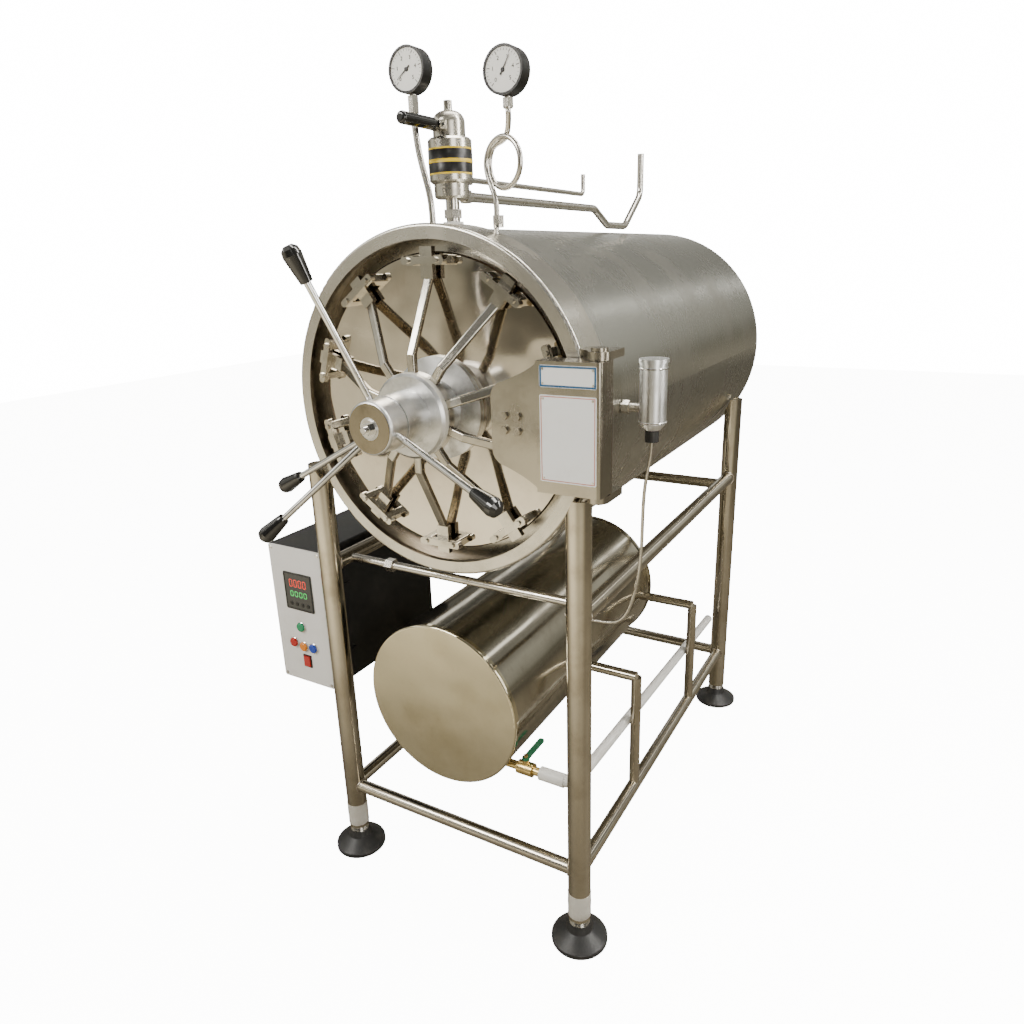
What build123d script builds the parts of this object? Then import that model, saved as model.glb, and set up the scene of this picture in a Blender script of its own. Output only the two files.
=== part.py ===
from build123d import *
import math
import os

os.makedirs("parts", exist_ok=True)

# Lengths are in millimetres. +X is to the right of someone facing the door, +Y is away from the door
# and +Z is up. The origin is on the floor, under the middle of the whole machine.

# Where the vessel stands in the frame
axis_x = 44.6
axis_z = 1194.0
post_front_y = -510.9

# Fits and gaps
sheet_gap = 0.3
seat_gap = 0.3
slide_fit = 0.1
shaft_fit = 0.05
lock_gap = 1.5

# Frame tubes
post_spread = 322.3
post_pitch_y = 1117.0
post_r = 25.4
tube_wall = 2.0
post_foot_z = 62.0
post_top_z = 1050.0
rail_r = 15.9
low_rail_z = 187.0
top_rail_r = 19.0
top_rail_z = 803.0
rear_rail_z = 775.0

# Levelling feet
foot_r = 64.0
foot_rim = 10.0
foot_neck_r = 25.0
foot_neck_z = 48.0
foot_shoulder_z = 32.0
stem_r = 10.0
stem_top_z = 96.0
stem_nut_r = 17.0
stem_nut_h = 10.0

# Jacket cover, steam jacket and chamber
ring_front_y = post_front_y - 2.5
ring_depth = 95.0
cover_r = 342.5
cover_wall = 2.0
cover_length = 1192.0
rear_rim_r = 14.0
rear_wall = 3.0
jacket_r = 292.0
jacket_wall = 4.0
jacket_length = 1085.0
chamber_r = 250.0
chamber_wall = 4.0
chamber_length = 1040.0
head_depth = 90.0
head_wall = 5.0

# Locking ring
ring_r = 350.0
lip_inner_r = 322.0
lip_depth = 12.0
groove_r = 344.0
groove_depth = 54.0
ring_corner = 6.0
seal_inner_r = 262.0
seal_outer_r = 276.0
seal_groove = 6.0
seal_stand = 3.0

# Door plate
plate_r = 300.0
plate_depth = 30.0
plug_r = 238.0
plug_depth = 14.0

# Door hub
housing_flange_r = 104.0
housing_flange = 12.0
housing_neck_r = 62.0
collar_r = 82.5
collar_depth = 36.0
collar_out = 75.0
sleeve_r = 52.0
sleeve_out = 141.0
shaft_r = 18.0

# Locking arms
arm_count = 10
arm_first_angle = 90.0
arm_stroke = 21.0
arm_rest_r = 309.0
bolt_inner_r = 250.0
bolt_width = 28.0
bolt_thick = 12.0
arm_tip_width = 20.0
arm_edge_r = 4.0
arm_root_r = 48.0
arm_knee_r = 116.0
arm_root_width = 18.0
arm_root_thick = 14.0
arm_root_out = 50.0
guide_r = 284.0
guide_foot = 18.0
guide_reach = 42.0
guide_bar_r = 7.0
guide_screw_r = 5.5
guide_screw_head = 4.0

# Handwheel
wheel_hub_r = 50.0
wheel_hub_front = 190.0
wheel_gap = 1.0
rod_count = 3
rod_first_angle = 103.7
rod_r = 6.5
rod_out = 166.0
rod_reach = 262.0
rod_lean_out = 241.0
knob_r = 17.0
knob_neck_r = 11.0
knob_length = 64.0
pull_angle = -152.0
pull_out = 126.0
pull_reach = 284.0

# Hinge
hinge_reach = 373.0
hinge_ahead = 21.5
hinge_x = axis_x + hinge_reach
hinge_y = ring_front_y - hinge_ahead
hinge_pin_r = 10.0
barrel_r = 17.0
arm_box_half = 118.0
arm_tongue_half = 72.0
arm_tongue_length = 96.0
arm_tongue_step = 6.0
arm_bolt_spacing = 27.0
arm_bolt_r = 8.0
arm_bolt_head = 6.0
arm_box_drop = 3.0
arm_box_left = 172.0
arm_box_front = ring_front_y - 57.5
arm_box_back = ring_front_y - 7.0
arm_box_wall = 3.0
arm_box_side = 19.0
arm_box_corner = 30.0
lug_thick = 14.0
lug_half = 20.0
lug_washer = 1.0
lug_back = 62.0
boss_x = 214.0
boss_r = 34.0

# Sign plates, left blank
sign_wall = 1.0
sign_width = 108.0
sign_small_height = 38.0
sign_large_height = 156.0
sign_gap = 13.0
sign_corner = 3.0

# Control box
box_width = 172.0
box_height = 370.0
box_depth = 426.0
box_bottom_z = 458.0
box_front_y = post_front_y - 4.0
box_corner = 6.0
box_sheet = 2.0
panel_wall = 3.0
box_strap = 3.0
bracket_low = 60.0
bracket_high = 240.0
bracket_ahead = 40.0
bracket_length = 90.0
bracket_height = 24.0
display_width = 92.0
display_height = 100.0
lamp_r = 12.0
lamp_stand = 8.0

# Steam generator
boiler_x = axis_x - 25.0
boiler_z = 508.0
boiler_r = 199.0
boiler_front_y = post_front_y - 5.0
boiler_length = 850.0
boiler_wall = 3.0
boiler_lid = 14.0
stand_front_y = post_front_y + 330.0
stand_rear_y = post_front_y + 780.0
stand_half = 12.7
stand_top_z = 500.0

# Steam trap
trap_x = axis_x + 405.0
trap_y = post_front_y + 157.0
trap_r = 26.0
trap_cap_r = 28.5
trap_cap = 7.0
trap_low_z = 1168.0
trap_high_z = 1284.0
trap_cone = 12.0
trap_neck_r = 13.5
trap_neck = 24.0
trap_tube_r = 3.6
trap_tube_drop = 411.0
trap_tube_reach = 190.0
trap_stub_r = 9.0

# Safety valve
valve_y = post_front_y + 112.0
valve_nozzle_r = 13.5
valve_nozzle_height = 53.5
valve_low_r = 34.0
valve_low_height = 29.0
valve_body_r = 42.0
valve_body_height = 78.0
valve_bell_r = 31.0
valve_bell_height = 47.0
valve_knob_r = 8.0
valve_knob_height = 18.0
lever_length = 118.0
lever_r = 11.0
lever_gap = 0.5
lever_ear = 3.0
lever_pin_r = 3.0

# Gauges
gauge_r = 39.0
gauge_depth = 34.0
gauge_rim = 4.0
gauge_sink = 4.0
gauge_bevel = 5.0
gauge_left_x = axis_x - 30.0
gauge_left_y = post_front_y + 44.0
gauge_left_height = 267.5
gauge_right_x = axis_x + 163.0
gauge_right_y = post_front_y + 56.0
gauge_right_height = 244.5
gauge_stem_r = 6.0
gauge_nut_r = 9.5
siphon_x = axis_x + 125.0
siphon_y = post_front_y + 66.0
siphon_r = 5.0
siphon_loop_r = 42.0
siphon_loop_height = 103.5
siphon_loop_turn = -16.0
siphon_loop_pitch = 14.0

# Top pipes
header_r = 9.5
header_over_nozzle = 6.0
header_bend_r = 40.0
header_nut_r = 14.0
header_nut = 18.0
thin_r = 5.5
thin_over_neck = 9.0
thin_bend_r = 12.0
stub_y = post_front_y + 720.0
stub_height = 48.0
dip_start_y = post_front_y + 790.0
dip_low_y = post_front_y + 880.0
dip_end_y = post_front_y + 1010.0
dip_clear = 10.0
vent_far_y = post_front_y + 1130.0
vent_knee_height = 50.0
vent_height = 164.0

# Steam feed under the ring and drain valve
feed_y = post_front_y + 62.0
feed_z = 803.0
feed_r = 10.0
feed_left = 200.0
drain_x = axis_x + 177.0
drain_y = post_front_y + 30.0
drain_z = 386.0
drain_r = 10.0
drain_end = 274.0
drain_body_r = 16.0
drain_body = 38.0
drain_stem_r = 5.0
drain_lever_z = 410.0
drain_lever_length = 84.0
drain_lever_thick = 5.0
waste_r = 12.5
waste_socket_r = 15.5
waste_socket = 60.0
waste_bend_r = 22.0
waste_end_y = post_front_y + 1062.0
waste_fall = 60.0

# Values that follow from the ones above
ring_back_y = ring_front_y + ring_depth
cover_back_y = ring_back_y + cover_length
seat_y = ring_front_y + lip_depth + groove_depth
plate_back_y = seat_y - seal_stand
plate_front_y = plate_back_y - plate_depth
bolt_front_y = ring_front_y + lip_depth + lock_gap
bolt_back_y = bolt_front_y + bolt_thick
post_back_y = post_front_y + post_pitch_y
waste_x = axis_x + post_spread - stand_half - waste_r - seat_gap
arm_box_right = hinge_x + arm_box_side
arm_box_mid_z = axis_z - arm_box_drop
arm_step = 360.0 / arm_count
vessel_top_z = axis_z + cover_r
valve_nozzle_top = vessel_top_z + valve_nozzle_height
valve_low_top = valve_nozzle_top + valve_low_height
valve_body_top = valve_low_top + valve_body_height
valve_bell_top = valve_body_top + valve_bell_height
valve_knob_top = valve_bell_top + valve_knob_height
lever_pivot_y = valve_y - valve_bell_r - 10
lever_pivot_z = valve_body_top + 19
gauge_left_z = vessel_top_z + gauge_left_height
gauge_right_z = vessel_top_z + gauge_right_height
header_z = valve_nozzle_top + header_over_nozzle
thin_z = valve_low_top + thin_over_neck
stub_top_z = thin_z + stub_height
vent_top_z = header_z + vent_height


def facing(y, x=axis_x, z=axis_z):
    """Upright plane at y that faces the front, with X to the right and Z up."""
    return Plane(origin=(x, y, z), x_dir=(1, 0, 0), z_dir=(0, -1, 0))


def facing_turned(y, turn):
    """Plane at y that faces the front, centred on the vessel and turned by this many degrees."""
    across = (math.cos(math.radians(turn)), 0, math.sin(math.radians(turn)))
    return Plane(origin=(axis_x, y, axis_z), x_dir=across, z_dir=(0, -1, 0))


def side_cut(x=axis_x, z=axis_z):
    """Upright plane through x for profiles written as distance along Y and height over z."""
    return Plane(origin=(x, 0, z), x_dir=(0, 1, 0), z_dir=(1, 0, 0))


def upright(x, y, z=0.0):
    """Upright plane through x and y for profiles written as radius and height."""
    return Plane(origin=(x, y, z), x_dir=(1, 0, 0), z_dir=(0, -1, 0))


vessel_axis = Axis((axis_x, 0, axis_z), (0, 1, 0))


def top_of_vessel(x, r=cover_r):
    """Height of the round surface of radius r above the point x."""
    return axis_z + math.sqrt(r ** 2 - (x - axis_x) ** 2)


# Posts: round tubes standing on the feet, coped under the vessel
post_places = [
    (-post_spread, post_front_y),
    (post_spread, post_front_y),
    (-post_spread, post_back_y),
    (post_spread, post_back_y),
]
with BuildPart() as posts:
    for post_dx, post_y in post_places:
        with BuildSketch(Plane.XY.offset(post_foot_z)):
            with Locations((axis_x + post_dx, post_y)):
                Circle(post_r)
                Circle(post_r - tube_wall, mode=Mode.SUBTRACT)
        extrude(amount=post_top_z - post_foot_z)
        with BuildSketch(facing(post_y - 2 * post_r)):
            Circle(ring_r + sheet_gap)
        extrude(amount=-4 * post_r, mode=Mode.SUBTRACT)
posts.part.label = "posts"
export_step(posts.part, "parts/posts.step")

# Rails between the posts: lower ones on all four sides
with BuildPart() as rails:
    for post_y in (post_front_y, post_back_y):
        with BuildSketch(Plane.YZ.offset(axis_x - post_spread)):
            with Locations((post_y, low_rail_z)):
                Circle(rail_r)
                Circle(rail_r - tube_wall, mode=Mode.SUBTRACT)
        extrude(amount=2 * post_spread)
    for post_dx in (-post_spread, post_spread):
        with BuildSketch(facing(post_front_y, axis_x + post_dx, low_rail_z)):
            Circle(rail_r)
            Circle(rail_r - tube_wall, mode=Mode.SUBTRACT)
        extrude(amount=-post_pitch_y)
    # Upper rails along both sides and across the back
    for post_dx in (-post_spread, post_spread):
        with BuildSketch(facing(post_front_y, axis_x + post_dx, top_rail_z)):
            Circle(top_rail_r)
            Circle(top_rail_r - tube_wall, mode=Mode.SUBTRACT)
        extrude(amount=-post_pitch_y)
    with BuildSketch(Plane.YZ.offset(axis_x - post_spread)):
        with Locations((post_back_y, rear_rail_z)):
            Circle(rail_r)
            Circle(rail_r - tube_wall, mode=Mode.SUBTRACT)
    extrude(amount=2 * post_spread)
    for post_dx, post_y in post_places:
        with BuildSketch(Plane.XY.offset(low_rail_z - 2 * rail_r)):
            with Locations((axis_x + post_dx, post_y)):
                Circle(post_r + sheet_gap)
        extrude(amount=top_rail_z - low_rail_z + 4 * top_rail_r, mode=Mode.SUBTRACT)
rails.part.label = "rails"
export_step(rails.part, "parts/rails.step")

# Levelling feet: domed pads and threaded stems
with BuildPart() as foot_pads:
    for post_dx, post_y in post_places:
        with BuildSketch(upright(axis_x + post_dx, post_y)) as pad_profile:
            with BuildLine():
                Polyline(
                    (0, 0),
                    (foot_r, 0),
                    (foot_r, foot_rim),
                    (foot_neck_r + 6, foot_shoulder_z),
                    (foot_neck_r, foot_neck_z),
                    (0, foot_neck_z),
                    close=True,
                )
            make_face()
            fillet(pad_profile.vertices().sort_by(Axis.X)[-1:], radius=3)
        revolve(axis=Axis((axis_x + post_dx, post_y, 0), (0, 0, 1)))
foot_pads.part.label = "foot_pads"
export_step(foot_pads.part, "parts/foot_pads.step")

with BuildPart() as foot_stems:
    for post_dx, post_y in post_places:
        with BuildSketch(Plane.XY.offset(foot_neck_z)):
            with Locations((axis_x + post_dx, post_y)):
                Circle(stem_r)
        extrude(amount=stem_top_z - foot_neck_z)
        with BuildSketch(Plane.XY.offset(foot_neck_z)):
            with Locations((axis_x + post_dx, post_y)):
                RegularPolygon(stem_nut_r, 6)
        extrude(amount=stem_nut_h)
        with BuildSketch(Plane.XY.offset(post_foot_z)):
            with Locations((axis_x + post_dx, post_y)):
                Circle(post_r - tube_wall - sheet_gap)
        extrude(amount=stem_top_z - post_foot_z)
foot_stems.part.label = "foot_stems"
export_step(foot_stems.part, "parts/foot_stems.step")

# Locking ring: a lip in front, a band round the arms' groove and a flange that carries the seal
with BuildPart() as ring_lip:
    with BuildSketch(facing(ring_front_y)):
        Circle(ring_r)
        Circle(lip_inner_r, mode=Mode.SUBTRACT)
    extrude(amount=-lip_depth)
    lip_outer_edge = ring_lip.edges().group_by(Axis.Y)[0].sort_by(SortBy.LENGTH)[-1:]
    fillet(lip_outer_edge, radius=ring_corner)
ring_lip.part.label = "ring_lip"
export_step(ring_lip.part, "parts/ring_lip.step")

with BuildPart() as ring_band:
    with BuildSketch(facing(ring_front_y + lip_depth)):
        Circle(ring_r)
        Circle(groove_r, mode=Mode.SUBTRACT)
    extrude(amount=-groove_depth)
ring_band.part.label = "ring_band"
export_step(ring_band.part, "parts/ring_band.step")

with BuildPart() as ring_flange:
    with BuildSketch(facing(seat_y)):
        Circle(ring_r)
        Circle(chamber_r, mode=Mode.SUBTRACT)
    extrude(amount=seat_y - ring_back_y)
    flange_outer_edge = ring_flange.edges().group_by(Axis.Y)[-1].sort_by(SortBy.LENGTH)[-1:]
    fillet(flange_outer_edge, radius=ring_corner)
    with BuildSketch(facing(seat_y)):
        Circle(seal_outer_r)
        Circle(seal_inner_r, mode=Mode.SUBTRACT)
    extrude(amount=-seal_groove, mode=Mode.SUBTRACT)
ring_flange.part.label = "ring_flange"
export_step(ring_flange.part, "parts/ring_flange.step")

# Door seal in its groove
with BuildPart() as door_seal:
    with BuildSketch(side_cut()):
        with BuildLine():
            Polyline(
                (plate_back_y + sheet_gap, seal_inner_r + seat_gap),
                (plate_back_y + sheet_gap, seal_outer_r - seat_gap),
                (seat_y + seal_groove, seal_outer_r - seat_gap),
                (seat_y + seal_groove, seal_inner_r + seat_gap),
                close=True,
            )
        make_face()
    revolve(axis=vessel_axis)
door_seal.part.label = "door_seal"
export_step(door_seal.part, "parts/door_seal.step")

# Chamber tube and its domed end
with BuildPart() as chamber_shell:
    with BuildSketch(facing(ring_back_y)):
        Circle(chamber_r + chamber_wall)
        Circle(chamber_r, mode=Mode.SUBTRACT)
    extrude(amount=-chamber_length)
chamber_shell.part.label = "chamber_shell"
export_step(chamber_shell.part, "parts/chamber_shell.step")

chamber_end_y = ring_back_y + chamber_length
with BuildPart() as chamber_head:
    with BuildSketch(side_cut()):
        with Locations((chamber_end_y, 0)):
            Ellipse(head_depth, chamber_r + chamber_wall)
            Ellipse(head_depth - head_wall, chamber_r + chamber_wall - head_wall, mode=Mode.SUBTRACT)
            Rectangle(4 * head_depth, 2 * cover_r, align=(Align.CENTER, Align.MAX), mode=Mode.SUBTRACT)
            Rectangle(4 * head_depth, 2 * cover_r, align=(Align.MAX, Align.CENTER), mode=Mode.SUBTRACT)
    revolve(axis=vessel_axis)
chamber_head.part.label = "chamber_head"
export_step(chamber_head.part, "parts/chamber_head.step")

# Steam jacket around the chamber, closed by a flat ring at the back
with BuildPart() as steam_jacket:
    with BuildSketch(facing(ring_back_y)):
        Circle(jacket_r)
        Circle(jacket_r - jacket_wall, mode=Mode.SUBTRACT)
    extrude(amount=-jacket_length)
    with BuildSketch(facing(chamber_end_y - 3 * jacket_wall)):
        Circle(jacket_r)
        Circle(chamber_r + chamber_wall + sheet_gap, mode=Mode.SUBTRACT)
    extrude(amount=-jacket_wall)
steam_jacket.part.label = "steam_jacket"
export_step(steam_jacket.part, "parts/steam_jacket.step")

# Outer cover and rear cover
with BuildPart() as jacket_cover:
    with BuildSketch(facing(ring_back_y)):
        Circle(cover_r)
        Circle(cover_r - cover_wall, mode=Mode.SUBTRACT)
    extrude(amount=-cover_length)
jacket_cover.part.label = "jacket_cover"
export_step(jacket_cover.part, "parts/jacket_cover.step")

with BuildPart() as rear_cover:
    with BuildSketch(facing(cover_back_y)):
        Circle(cover_r)
    extrude(amount=-rear_rim_r)
    fillet(rear_cover.edges().group_by(Axis.Y)[-1], radius=rear_rim_r - 1)
    offset(amount=-rear_wall, openings=rear_cover.faces().sort_by(Axis.Y)[0])
rear_cover.part.label = "rear_cover"
export_step(rear_cover.part, "parts/rear_cover.step")

# Hinge lugs welded to the ring, with the pin through them
arm_box_low = arm_box_mid_z - arm_box_half
arm_box_high = arm_box_mid_z + arm_box_half
with BuildPart() as hinge_lugs:
    for lug_z in (arm_box_low - lug_washer - lug_thick, arm_box_high + lug_washer):
        with BuildSketch(Plane.XY.offset(lug_z)):
            with BuildLine():
                Polyline(
                    (hinge_x - 2.6 * lug_half, hinge_y + lug_back),
                    (hinge_x - 2.6 * lug_half, hinge_y + 26.0),
                    (hinge_x - lug_half, hinge_y),
                    (hinge_x + lug_half, hinge_y),
                    (hinge_x + lug_half, hinge_y + lug_back),
                    close=True,
                )
            make_face()
            with Locations((hinge_x, hinge_y)):
                Circle(lug_half)
        extrude(amount=lug_thick)
        with BuildSketch(Plane.XY.offset(lug_z)):
            with Locations((hinge_x, hinge_y)):
                Circle(hinge_pin_r + seat_gap)
        extrude(amount=lug_thick, mode=Mode.SUBTRACT)
    with BuildSketch(facing(ring_front_y)):
        Circle(ring_r + sheet_gap)
    extrude(amount=-ring_depth, mode=Mode.SUBTRACT)
hinge_lugs.part.label = "hinge_lugs"
export_step(hinge_lugs.part, "parts/hinge_lugs.step")

with BuildPart() as hinge_pin:
    with BuildSketch(Plane.XY.offset(arm_box_low - lug_washer - lug_thick - 4)):
        with Locations((hinge_x, hinge_y)):
            Circle(hinge_pin_r)
    extrude(amount=2 * (arm_box_half + lug_washer + lug_thick) + 8)
    with BuildSketch(Plane.XY.offset(arm_box_high + lug_washer + lug_thick + seat_gap)):
        with Locations((hinge_x, hinge_y)):
            Circle(hinge_pin_r + 5)
    extrude(amount=6)
    for washer_z in (arm_box_low - lug_washer, arm_box_high + seat_gap):
        with BuildSketch(Plane.XY.offset(washer_z)):
            with Locations((hinge_x, hinge_y)):
                Circle(barrel_r)
        extrude(amount=lug_washer - seat_gap)
hinge_pin.part.label = "hinge_pin"
export_step(hinge_pin.part, "parts/hinge_pin.step")

# Door plate with its rear plug
with BuildPart() as door_plate:
    with BuildSketch(facing(plate_back_y)):
        Circle(plate_r)
    extrude(amount=plate_depth)
    chamfer(door_plate.edges().group_by(Axis.Y)[0], length=3)
    with BuildSketch(facing(plate_back_y)):
        Circle(plug_r)
    extrude(amount=-plug_depth)
    chamfer(door_plate.edges().group_by(Axis.Y)[-1], length=5)
door_plate.part.label = "door_plate"
export_step(door_plate.part, "parts/door_plate.step")

# Hub housing: flange, neck, collar with a window for each arm, and the sleeve of the wheel's shaft
collar_back_y = ring_front_y - collar_out + collar_depth
collar_front_y = ring_front_y - collar_out
sleeve_front_y = ring_front_y - sleeve_out
arm_root_y = ring_front_y - arm_root_out
with BuildPart() as hub_housing:
    with BuildSketch(side_cut()):
        with BuildLine():
            Polyline(
                (plate_front_y, 0),
                (plate_front_y, housing_flange_r),
                (plate_front_y - housing_flange, housing_flange_r),
                (plate_front_y - housing_flange - 8, housing_neck_r),
                (collar_back_y, housing_neck_r),
                (collar_back_y, collar_r),
                (collar_front_y + 5, collar_r),
                (collar_front_y, collar_r - 5),
                (collar_front_y, sleeve_r),
                (sleeve_front_y, sleeve_r),
                (sleeve_front_y, shaft_r + shaft_fit),
                (collar_back_y, shaft_r + shaft_fit),
                (collar_back_y, 0),
                close=True,
            )
        make_face()
    revolve(axis=vessel_axis)
    for arm_index in range(arm_count):
        arm_turn = arm_first_angle + arm_index * arm_step
        with BuildSketch(facing_turned(arm_root_y, arm_turn)):
            with Locations(((arm_root_r + collar_r) / 2 + 10, 0)):
                Rectangle(collar_r - arm_root_r + 30, arm_root_width + 2 * slide_fit)
        extrude(amount=arm_root_thick / 2 + slide_fit, both=True, mode=Mode.SUBTRACT)
hub_housing.part.label = "hub_housing"
export_step(hub_housing.part, "parts/hub_housing.step")

# Ten bolt guides round the plate's rim: a round cross bar on two feet, each held by a screw
guide_bar_y = bolt_front_y - slide_fit - guide_bar_r
with BuildPart() as bolt_guides:
    for arm_index in range(arm_count):
        arm_turn = arm_first_angle + arm_index * arm_step
        with BuildSketch(facing_turned(guide_bar_y, arm_turn)):
            with Locations((guide_r, 0)):
                RectangleRounded(2 * guide_bar_r, 2 * guide_reach + 2 * guide_bar_r, guide_bar_r - 1)
        extrude(amount=guide_bar_r, both=True)
        for foot_side in (-1, 1):
            with BuildSketch(facing_turned(plate_front_y, arm_turn)):
                with Locations((guide_r, foot_side * (guide_reach - guide_foot / 2))):
                    RectangleRounded(guide_foot, guide_foot, 3)
            extrude(amount=plate_front_y - guide_bar_y)
            with BuildSketch(facing_turned(guide_bar_y - guide_bar_r, arm_turn)):
                with Locations((guide_r, foot_side * (guide_reach - guide_foot / 2))):
                    RegularPolygon(guide_screw_r, 6)
            extrude(amount=guide_screw_head)
bolt_guides.part.label = "bolt_guides"
export_step(bolt_guides.part, "parts/bolt_guides.step")

def arm_section(r, y, turn):
    """Plane across an arm at radius r and depth y, its normal pointing outwards."""
    out = (math.cos(math.radians(turn)), 0, math.sin(math.radians(turn)))
    return Plane(origin=(axis_x + r * out[0], y, axis_z + r * out[2]), x_dir=(0, 1, 0), z_dir=out)


# Ten locking arms: a straight root in the collar, a tapered bar and a flat bolt behind the lip
bolt_mid_y = (bolt_front_y + bolt_back_y) / 2
for arm_index in range(arm_count):
    arm_turn = arm_first_angle + arm_index * arm_step
    with BuildPart() as arm:
        with BuildSketch(arm_section(arm_root_r, arm_root_y, arm_turn)):
            RectangleRounded(arm_root_thick, arm_root_width, arm_edge_r)
        extrude(amount=arm_knee_r - arm_root_r)
        with BuildSketch(arm_section(arm_knee_r, arm_root_y, arm_turn)):
            RectangleRounded(arm_root_thick, arm_root_width, arm_edge_r)
        with BuildSketch(arm_section(bolt_inner_r, bolt_mid_y, arm_turn)):
            RectangleRounded(bolt_thick, arm_tip_width, arm_edge_r)
        loft()
        with BuildSketch(arm_section(bolt_inner_r, bolt_mid_y, arm_turn)):
            Rectangle(bolt_thick, bolt_width)
        extrude(amount=arm_rest_r - bolt_inner_r)
    arm.part.label = f"locking_arm_{arm_index + 1}"
    export_step(arm.part, f"parts/locking_arm_{arm_index + 1}.step")

# Hinge arm: a deep folded box by the hinge and a flared tongue that bolts to the door's boss
tongue_right_x = axis_x + arm_box_left + arm_tongue_length
tongue_front_y = arm_box_front + arm_tongue_step
with BuildPart() as hinge_arm:
    with BuildSketch(facing(arm_box_front, 0, arm_box_mid_z)):
        with Locations(((tongue_right_x + arm_box_right) / 2, 0)):
            Rectangle(arm_box_right - tongue_right_x, 2 * arm_box_half)
    extrude(amount=arm_box_front - arm_box_back)
    fillet(hinge_arm.edges().filter_by(Axis.Z).group_by(Axis.X)[-1].sort_by(Axis.Y)[:1], radius=9)
    with BuildSketch(facing(tongue_front_y, 0, arm_box_mid_z)) as tongue:
        with BuildLine():
            tongue_top = Spline(
                (axis_x + arm_box_left, arm_tongue_half),
                (axis_x + arm_box_left + arm_tongue_length / 2, arm_tongue_half + arm_box_corner / 2),
                (tongue_right_x, arm_box_half - arm_box_wall),
                tangents=((1, 0.15), (1, 0.9)),
            )
            tongue_low = Spline(
                (axis_x + arm_box_left, -arm_tongue_half),
                (axis_x + arm_box_left + arm_tongue_length / 2, -arm_tongue_half - arm_box_corner / 2),
                (tongue_right_x, -arm_box_half + arm_box_wall),
                tangents=((1, -0.15), (1, -0.9)),
            )
            Line(tongue_top @ 1, tongue_low @ 1)
            Line(tongue_top @ 0, tongue_low @ 0)
        make_face()
        fillet(tongue.vertices().group_by(Axis.X)[0], radius=arm_box_corner)
    extrude(amount=-2 * arm_box_wall)
    with BuildSketch(facing(arm_box_back, 0, arm_box_mid_z)):
        with Locations(((tongue_right_x + arm_box_right) / 2, 0)):
            Rectangle(arm_box_right - tongue_right_x - 2 * arm_box_wall, 2 * (arm_box_half - arm_box_wall))
    extrude(amount=arm_box_back - arm_box_front - arm_box_wall, mode=Mode.SUBTRACT)
    with BuildSketch(Plane.XY.offset(arm_box_low)):
        with Locations((hinge_x, hinge_y)):
            Circle(barrel_r)
        with BuildLine():
            Polyline(
                (hinge_x - barrel_r, hinge_y),
                (hinge_x - barrel_r, arm_box_front + 1),
                (arm_box_right - 1, arm_box_front + 12),
                (arm_box_right - 1, hinge_y),
                close=True,
            )
        make_face()
    extrude(amount=2 * arm_box_half)
    with BuildSketch(Plane.XY.offset(arm_box_low)):
        with Locations((hinge_x, hinge_y)):
            Circle(hinge_pin_r + shaft_fit)
    extrude(amount=2 * arm_box_half, mode=Mode.SUBTRACT)
    # Boss on the door plate and the four bolts through the tongue into it
    with BuildSketch(facing(plate_front_y, axis_x + boss_x, axis_z)):
        Circle(boss_r)
    extrude(amount=plate_front_y - tongue_front_y - 1)
    with BuildSketch(facing(tongue_front_y, axis_x + boss_x, axis_z)):
        with GridLocations(arm_bolt_spacing, arm_bolt_spacing, 2, 2):
            RegularPolygon(arm_bolt_r, 6)
    extrude(amount=arm_bolt_head)
hinge_arm.part.label = "hinge_arm"
export_step(hinge_arm.part, "parts/hinge_arm.step")

# Handwheel hub and shaft
wheel_hub_back_y = sleeve_front_y - wheel_gap
wheel_hub_front_y = ring_front_y - wheel_hub_front
with BuildPart() as wheel_hub:
    with BuildSketch(facing(wheel_hub_back_y)):
        Circle(wheel_hub_r)
    extrude(amount=wheel_hub_back_y - wheel_hub_front_y)
    fillet(wheel_hub.edges().group_by(Axis.Y)[0], radius=6)
    with BuildSketch(facing(wheel_hub_back_y)):
        Circle(shaft_r)
    extrude(amount=-(collar_back_y - wheel_hub_back_y - 2))
wheel_hub.part.label = "wheel_hub"
export_step(wheel_hub.part, "parts/wheel_hub.step")


def rod_line(turn, root_r, root_out, reach, reach_out):
    """Start point and direction of a rod that leans out from the hub."""
    out = Vector(math.cos(math.radians(turn)), 0, math.sin(math.radians(turn)))
    centre = Vector(axis_x, ring_front_y, axis_z)
    start = centre + out * root_r - Vector(0, root_out, 0)
    end = centre + out * reach - Vector(0, reach_out, 0)
    return start, end


def knob_profile_points():
    """Radius and height of a tapered knob from its neck to its rounded end."""
    return [
        (0, 0),
        (knob_neck_r, 0),
        (knob_neck_r + 1, 6),
        (knob_r, knob_length - 16),
        (knob_r - 2, knob_length - 6),
        (knob_r - 9, knob_length),
        (0, knob_length),
    ]


# Three rods that lean forward, and their knobs
with BuildPart() as wheel_rods:
    for rod_index in range(rod_count):
        rod_turn = rod_first_angle + rod_index * 360.0 / rod_count
        rod_start, rod_end = rod_line(rod_turn, wheel_hub_r - 4, rod_out, rod_reach, rod_lean_out)
        with BuildSketch(Plane(origin=rod_start, z_dir=rod_end - rod_start)):
            Circle(rod_r)
        extrude(amount=(rod_end - rod_start).length)
    with BuildSketch(facing(wheel_hub_back_y)):
        Circle(wheel_hub_r + sheet_gap)
    extrude(amount=wheel_hub_back_y - wheel_hub_front_y, mode=Mode.SUBTRACT)
wheel_rods.part.label = "wheel_rods"
export_step(wheel_rods.part, "parts/wheel_rods.step")

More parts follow.
